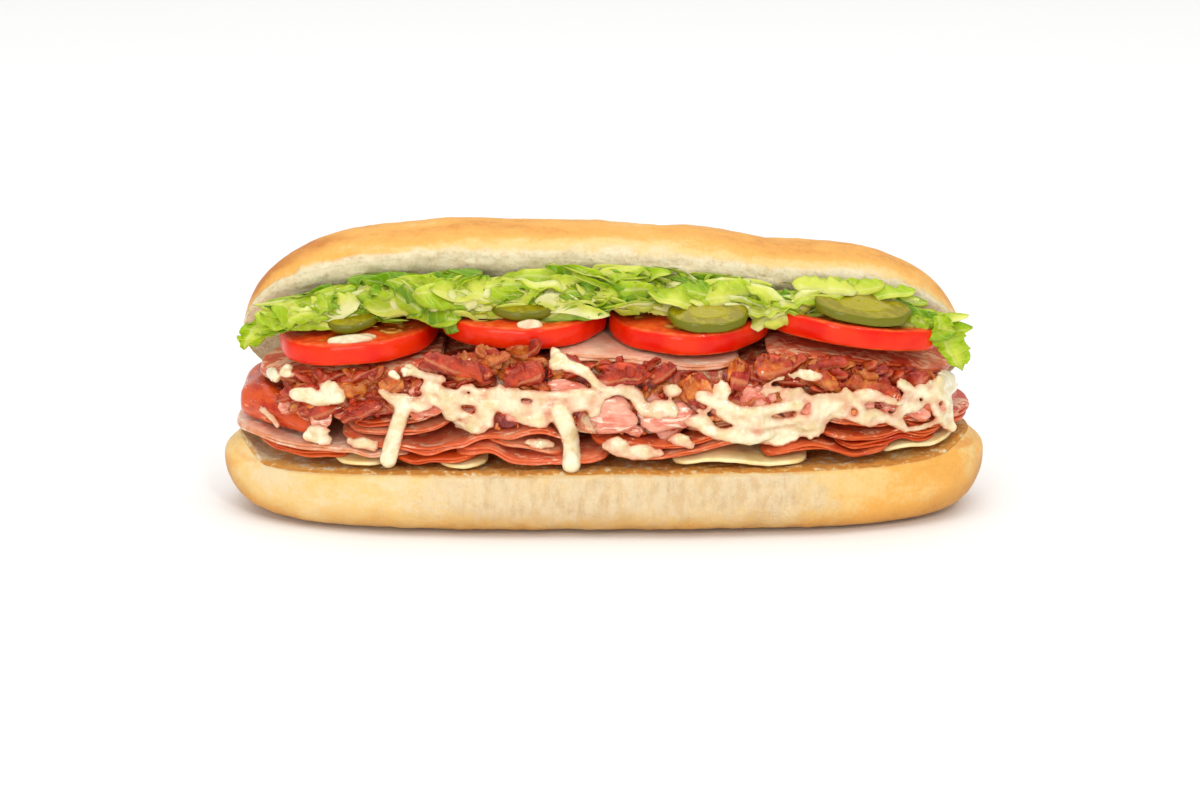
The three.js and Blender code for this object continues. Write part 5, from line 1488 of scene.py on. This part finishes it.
def meat_finish(name, lean, pale, edge, fat, fat_amount, rough=0.32, speck=0.0):
    """Sliced meat: lean with paler grain, streaks of fat, a cooked edge and a moist surface. The higher
    fat_amount is, the wider the streaks are; speck is the strength of small dots of fat."""
    look = Finish(name, rough, Subsurface_Weight=0.14, Subsurface_Scale=0.003,
                  Subsurface_Radius=(1.0, 0.35, 0.25), Coat_Weight=0.4, Coat_Roughness=0.08,
                  Specular_IOR_Level=0.15)
    broad = look.sway(look.noise(11, 4, 0.6, (1, 1, 2.4), warp=0.4), look.mark("tone"), 0.22)
    colour = look.mix(look.step(broad, 0.36, 0.66), lean, pale)
    grain = look.noise(1.7, 4, 0.65, (0.5, 1, 1.6))
    colour = look.mix(look.step(grain, 0.5, 0.72, 0, 0.6), colour, pale)
    streak = look.noise(4.6, 4, 0.6, (0.45, 0.8, 1.7), warp=1.2)
    colour = look.mix(look.step(streak, 0.62 - fat_amount, 0.7 - fat_amount), colour, fat)
    if speck:
        dots = look.step(look.cells(2.1), 0.14, 0.3, 1, 0)
        dots = look.math("MULTIPLY", dots, look.step(look.noise(5, 2), 0.48, 0.6))
        colour = look.mix(look.math("MULTIPLY", dots, speck), colour, fat)
    rim = look.step(look.mark("rim"), 0.4, 1.5, 1.0, 0.0)
    patch = look.step(look.noise(6.5, 3), 0.36, 0.6)
    cooked = look.math("ADD", look.math("MULTIPLY", patch, 0.65), 0.22)
    look.colour(look.mix(look.math("MULTIPLY", rim, cooked), colour, edge))
    look.bump(look.noise(1.1, 4, 0.6), 0.16)
    look.bump(look.noise(4, 3, 0.5), 0.35)
    return look.material


def bacon_finish():
    """Crisp bacon: dark red lean to orange-brown fried parts by tone, streaks of cream fat, pitted, oily."""
    look = Finish("crisp bacon", 0.26, Subsurface_Weight=0.08, Subsurface_Scale=0.002,
                  Subsurface_Radius=(1.0, 0.3, 0.15), Coat_Weight=0.35, Coat_Roughness=0.07,
                  Specular_IOR_Level=0.2)
    lean = look.mix(look.step(look.noise(5, 4, 0.6), 0.36, 0.64), srgb(156, 30, 14), srgb(214, 76, 36))
    fried = look.mix(look.step(look.noise(4, 4, 0.6), 0.36, 0.66), srgb(204, 88, 22), srgb(236, 148, 62))
    blend = look.sway(look.mark("tone"), look.noise(4.4, 3), 1.1)
    colour = look.mix(look.step(blend, 0.42, 0.74), lean, fried)
    off_band = look.sway(look.math("ADD", look.mark("cross"), 0.42), look.noise(5, 3), 0.9)
    band = look.math("ABSOLUTE", off_band)
    colour = look.mix(look.step(band, 0.04, 0.3, 0.6, 0), colour, srgb(230, 148, 92))
    colour = look.mix(look.step(look.mark("rim"), 0, 5, 0.45, 0), colour, srgb(110, 26, 10))
    colour = look.mix(look.step(look.noise(1.5, 4, 0.65), 0.6, 0.8, 0, 0.6), colour, srgb(120, 30, 18))
    look.colour(colour)
    look.bump(look.noise(0.8, 4, 0.65), 0.25)
    look.bump(look.cells(1.8), 0.25)
    return look.material


def cheese_finish(name, thin_tint):
    """Melted cheese and thick dressing: cream where its depth mark says that it is thick, another tint where
    it is thin or has no such mark, glossy."""
    look = Finish(name, 0.22, Subsurface_Weight=0.25, Subsurface_Scale=0.003,
                  Subsurface_Radius=(1.0, 0.7, 0.4), Coat_Weight=0.7, Coat_Roughness=0.04)
    thick = look.mix(look.step(look.noise(7, 4, 0.6), 0.38, 0.66), srgb(240, 231, 198), srgb(222, 202, 150))
    depth = look.sway(look.mark("depth"), look.noise(4.5, 4, 0.6), 1.8)
    film = look.mix(look.step(look.noise(6, 3), 0.38, 0.66), srgb(*thin_tint), srgb(216, 178, 136))
    look.colour(look.mix(look.step(depth, 0.45, 1.9), film, thick))
    look.bump(look.noise(5, 3, 0.5), 0.9)
    look.bump(look.noise(2, 3, 0.5), 0.22)
    return look.material


def mash_finish():
    """The mass behind the chunks: minced bacon and ham bound with melted cheese."""
    look = Finish("bacon in cheese", 0.3, Subsurface_Weight=0.15, Subsurface_Scale=0.003,
                  Subsurface_Radius=(1.0, 0.4, 0.25), Coat_Weight=0.35, Coat_Roughness=0.12)
    patch = look.noise(6.5, 4, 0.6, warp=0.8)
    colour = look.mix(look.step(patch, 0.38, 0.46), srgb(150, 44, 30), srgb(206, 88, 58))
    colour = look.mix(look.step(patch, 0.5, 0.56), colour, srgb(228, 142, 92))
    colour = look.mix(look.step(patch, 0.58, 0.64), colour, srgb(240, 210, 168))
    colour = look.mix(look.step(look.noise(1.6, 4, 0.6), 0.56, 0.74, 0, 0.8), colour, srgb(110, 28, 20))
    look.colour(colour)
    look.bump(patch, 1.6)
    look.bump(look.noise(1.2, 4, 0.6), 0.4)
    return look.material


def tomato_finish():
    """Ripe tomato: glossy red skin round the edge, wet flesh, darker chambers of gel with pale seeds."""
    look = Finish("ripe tomato", 0.3, Subsurface_Weight=0.2, Subsurface_Scale=0.004,
                  Subsurface_Radius=(1.0, 0.25, 0.1), Coat_Weight=0.22, Coat_Roughness=0.05,
                  Specular_IOR_Level=0.12)
    flesh = look.mix(look.step(look.noise(5, 4, 0.6), 0.38, 0.66), srgb(218, 58, 18), srgb(236, 96, 36))
    colour = look.mix(look.mark("gel"), flesh, srgb(196, 88, 14))
    colour = look.mix(look.mark("seeds"), colour, srgb(236, 176, 84))
    skin = look.mix(look.step(look.noise(15, 3), 0.35, 0.65), srgb(224, 24, 4), srgb(236, 50, 8))
    colour = look.mix(look.step(look.mark("skin"), 0.3, 0.8), colour, skin)
    look.colour(colour)
    look.bump(look.noise(1.4, 3), 0.06)
    return look.material


def pickle_finish():
    """Pickled cucumber: dark olive skin, yellow-green wall, paler glassy middle with faint seeds."""
    look = Finish("pickled cucumber", 0.2, Subsurface_Weight=0.3, Subsurface_Scale=0.003,
                  Subsurface_Radius=(0.8, 1.0, 0.15), Coat_Weight=0.25, Coat_Roughness=0.08,
                  Specular_IOR_Level=0.15)
    wall = look.mix(look.step(look.noise(3, 4), 0.4, 0.64), srgb(136, 124, 6), srgb(158, 146, 16))
    colour = look.mix(look.mark("core"), wall, srgb(164, 152, 26))
    seeds = look.math("MULTIPLY", look.step(look.cells(2.2), 0.1, 0.24, 1, 0), look.mark("core"))
    colour = look.mix(look.math("MULTIPLY", seeds, 0.5), colour, srgb(190, 178, 70))
    colour = look.mix(look.step(look.mark("skin"), 0.35, 0.9), colour, srgb(112, 112, 12))
    look.colour(colour)
    look.bump(look.noise(1.3, 3), 0.12)
    return look.material


def lettuce_finish():
    """Iceberg lettuce: white-green ribs to fresh green leaf, fine veins, thin and light-passing, with dark
    green painted shade on the heap's core.
    """
    look = Finish("shredded lettuce", 0.36, Subsurface_Weight=0.3, Subsurface_Scale=0.003,
                  Subsurface_Radius=(0.6, 1.0, 0.15), Coat_Weight=0.12, Coat_Roughness=0.15,
                  Specular_IOR_Level=0.15)
    leaf = look.sway(look.mark("leaf"), look.noise(7, 3), 0.7)
    colour = look.mix(look.step(leaf, -0.1, 0.24), srgb(228, 232, 150), srgb(200, 210, 76))
    colour = look.mix(look.step(leaf, 0.22, 0.56), colour, srgb(156, 184, 20))
    colour = look.mix(look.step(leaf, 0.6, 1.0), colour, srgb(104, 148, 10))
    aside = look.math("ABSOLUTE", look.math("ADD", look.mark("cross"), 0.35))
    rib = look.step(aside, 0.0, 0.2, 0.4, 0.0)
    slant = look.math("ADD", look.math("MULTIPLY", look.mark("run"), 1.5), look.math("MULTIPLY", aside, 7.0))
    slant = look.math("ADD", slant, look.math("MULTIPLY", look.noise(3, 3), 4.0))
    branch = look.step(look.math("SINE", slant), 0.6, 1.0, 0, 0.14)
    colour = look.mix(look.math("MAXIMUM", rib, branch), colour, srgb(222, 226, 150))
    # Painted shade: where this mark is 1, on the heap's shaded core, the colour goes to dark green.
    colour = look.mix(look.mark("deep"), colour, srgb(84, 100, 16))
    look.colour(colour)
    look.bump(look.noise(1.2, 4, 0.6), 0.22)
    return look.material


def provolone_finish():
    """Sliced cheese: pale straw, smooth, faintly waxy."""
    look = Finish("provolone", 0.34, Subsurface_Weight=0.3, Subsurface_Scale=0.004,
                  Subsurface_Radius=(1.0, 0.8, 0.4), Coat_Weight=0.15, Coat_Roughness=0.2)
    look.colour(look.mix(look.step(look.noise(8, 3), 0.4, 0.65), srgb(246, 226, 170), srgb(238, 208, 138)))
    look.bump(look.noise(1.6, 3), 0.08)
    return look.material


# ------------------------------------------------------------------ assembly

COOKED_EDGE = srgb(212, 90, 30)
PALE_EDGE = srgb(214, 130, 80)

bread = bread_finish()
ham = meat_finish("sliced ham", srgb(224, 108, 72), srgb(240, 162, 122), COOKED_EDGE,
                  srgb(244, 206, 170), fat_amount=0.05)
diced_ham = meat_finish("diced ham", srgb(214, 112, 90), srgb(234, 168, 144), COOKED_EDGE,
                        srgb(244, 214, 190), fat_amount=0.07)
pale_ham = meat_finish("pale ham", srgb(228, 168, 140), srgb(236, 200, 170), PALE_EDGE,
                       srgb(240, 216, 190), fat_amount=0.08)
smoked_ham = meat_finish("smoked ham", srgb(190, 54, 34), srgb(226, 112, 78), COOKED_EDGE,
                         srgb(242, 190, 150), fat_amount=0.13)
salami = meat_finish("salami", srgb(190, 62, 30), srgb(216, 104, 58), COOKED_EDGE,
                     srgb(238, 184, 144), fat_amount=0.02, rough=0.3, speck=0.8)
capicola = meat_finish("capicola", srgb(170, 34, 10), srgb(212, 82, 32), COOKED_EDGE,
                       srgb(232, 156, 104), fat_amount=0.03, rough=0.24)
provolone = provolone_finish()
bacon = bacon_finish()
cheese = cheese_finish("melted cheese", (214, 134, 98))
dressing = cheese_finish("thick dressing", (236, 220, 184))
mash = mash_finish()
tomato = tomato_finish()
pickle = pickle_finish()
lettuce = lettuce_finish()
# The finish of each kind of sheet, and the sheets of ham that aren't the plain pink one.
kinds = {"provolone": provolone, "ham": ham, "salami": salami, "capicola": capicola}
cures = {"ham_3": pale_ham, "ham_6": pale_ham, "ham_11": pale_ham, "ham_9": smoked_ham, "ham_10": smoked_ham,
         "ham_12": smoked_ham, "ham_7": smoked_ham}

make_base(bread)
make_lid(bread)

lower = Terrain(under_sheets)
stack_sheets(LOWER_SHEETS, lower, LOWER_PIVOT_Y, first_seed=200)
fold_lies = lower.lay(FOLD_FROM, FOLD_TO, FOLD_EDGE, FOLD_THICK)
fold_top = Terrain(lambda x: np.maximum(along(FOLD_CREST, x), fold_lies.heights + 2.6 * FOLD_THICK))
make_fold(fold_lies, fold_top, capicola)
over_fold = Terrain(lambda x: np.where((x > FOLD_FROM - STATION) & (x < FOLD_TO + STATION),
                                       fold_top.heights, lower.heights))

upper = Terrain(lambda x: along(CHEESE_CEILING, x))
stack_sheets(UPPER_SHEETS, upper, UPPER_PIVOT_Y, first_seed=400)

for number, bite in enumerate(BITES):
    meat = bacon if bite[0].startswith("bacon") else diced_ham
    make_bite(number, lambda x: over_fold.at(x) + 2 * SHEET_GAP, meat)
make_piece("filling_mass", [filling_skin(over_fold.at)], mash, "bacon", ["melted_cheese"])
whole_length = [(BED_FROM + 6, BED_TO - 9)]
bacon_heaps = [(-122, -84), (-66, -24), (54, 104), (96, 124)]
make_scraps("bacon_scraps", bacon, "bacon", over_fold.at, seed=151, count=130, lengths=(7, 17),
            widths=(3, 6.5), thick=1.6, outward=3.2, shares=(0.35, 1.05), spans=whole_length)
make_scraps("bacon_shreds", bacon, "bacon", over_fold.at, seed=163, count=84, lengths=(8, 18),
            widths=(3.5, 6.5), thick=1.7, outward=4.5, shares=(0.98, 1.24), spans=bacon_heaps)
make_crumbs("bacon_crumbs", bacon, "bacon", over_fold.at, seed=153, count=300, sizes=(1.4, 4), outward=3.2)
make_scraps("ham_scraps", diced_ham, "ham", over_fold.at, seed=157, count=60, lengths=(7, 15),
            widths=(4, 8), thick=1.3, outward=2.8, shares=(0.02, 0.62), spans=whole_length)
under_cheese = ("ham", "salami", "capicola", "bacon", "filling", "provolone")
in_front = [piece for piece in bpy.context.scene.objects if piece.name.startswith(under_cheese)]
make_cheese(Front(in_front), cheese)

tomatoes = []
pickles = []
for number in range(len(TOMATOES)):
    tomatoes.append(make_tomato(number, upper, tomato))
    pickles.append(make_pickle(number, tomatoes[-1], pickle))
make_dressing(tomatoes, dressing)
make_lettuce(pickles, lettuce)
make_leaf("lettuce_leaf_1", lettuce, top=(-128, -25, 82), tip=(-139, -22, 66), width=6.5, seed=1)
make_leaf("lettuce_leaf_2", lettuce, top=(129, -24.5, 80), tip=(138.5, -24, 58), width=6.5, seed=2)


# ------------------------------------------------------------------ table, light and camera

TABLE_HALF = 4.0
TABLE_CELLS = 8


def make_table():
    """A wide pale table top: a flat square grid at the height of the roll's underside."""
    steps = np.linspace(-TABLE_HALF, TABLE_HALF, TABLE_CELLS + 1)
    x, y = np.meshgrid(steps, steps, indexing="ij")
    points = np.stack([x, y, 0 * x], -1).reshape(-1, 3)
    i, j = np.meshgrid(np.arange(TABLE_CELLS), np.arange(TABLE_CELLS), indexing="ij")
    corner = i * (TABLE_CELLS + 1) + j
    across = corner + TABLE_CELLS + 1
    quads = np.stack([corner, across, across + 1, corner + 1], -1).reshape(-1, 4)
    mesh = bpy.data.meshes.new("table_top")
    mesh.from_pydata(points.tolist(), [], quads.tolist())
    look = Finish("pale table", 0.6, Specular_IOR_Level=0.2)
    look.colour((0.94, 0.94, 0.935, 1))
    mesh.materials.append(look.material)
    table = bpy.data.objects.new("table_top", mesh)
    bpy.context.scene.collection.objects.link(table)


def add_light(name, place, aim, size, power, colour):
    """A square soft light turned to face its aim."""
    light = bpy.data.lights.new(name, "AREA")
    light.size = size
    light.energy = power
    light.color = colour
    lamp = bpy.data.objects.new(name, light)
    bpy.context.scene.collection.objects.link(lamp)
    ahead = np.array(aim, float) - np.array(place, float)
    ahead /= np.linalg.norm(ahead)
    lamp.location = place
    lamp.rotation_euler = (math.acos(-ahead[2]), 0, math.atan2(ahead[0], -ahead[1]) + math.pi)


make_table()
scene = bpy.context.scene
scene.world = bpy.data.worlds.new("soft room")
scene.world.use_nodes = True
room_light = scene.world.node_tree.nodes["Background"]
room_light.inputs["Color"].default_value = (1, 1, 1, 1)
room_light.inputs["Strength"].default_value = 0.6
# Name, place, aim, width in metres, power in watts, colour.
LIGHTS = [("ceiling", (0, 0.3, 2.6), (0, 0.3, 0), 4.0, 60, (1, 1, 1)),
          ("window", (-0.5, -1.5, 0.5), (0, 0, 0.06), 0.6, 7.4, (1, 0.94, 0.86)),
          ("lamp", (0.45, -1.3, 1.0), (0, 0, 0.05), 0.2, 5, (1, 0.97, 0.92))]
for light in LIGHTS:
    add_light(*light)
scene.view_settings.view_transform = "Standard"

CAMERA_AIM = np.array([-0.0016, 0.0, 0.0395])
CAMERA_DISTANCE = 1.1
CAMERA_TILT = math.radians(16)
SENSOR_WIDTH = 36
LENS_LENGTH = 83.16
lens = bpy.data.cameras.new("camera")
lens.sensor_width = SENSOR_WIDTH
lens.lens = LENS_LENGTH
camera = bpy.data.objects.new("camera", lens)
camera.location = CAMERA_AIM - CAMERA_DISTANCE * np.array([0, math.cos(CAMERA_TILT), -math.sin(CAMERA_TILT)])
camera.rotation_euler = (math.pi / 2 - CAMERA_TILT, 0, 0)
scene.collection.objects.link(camera)
scene.camera = camera
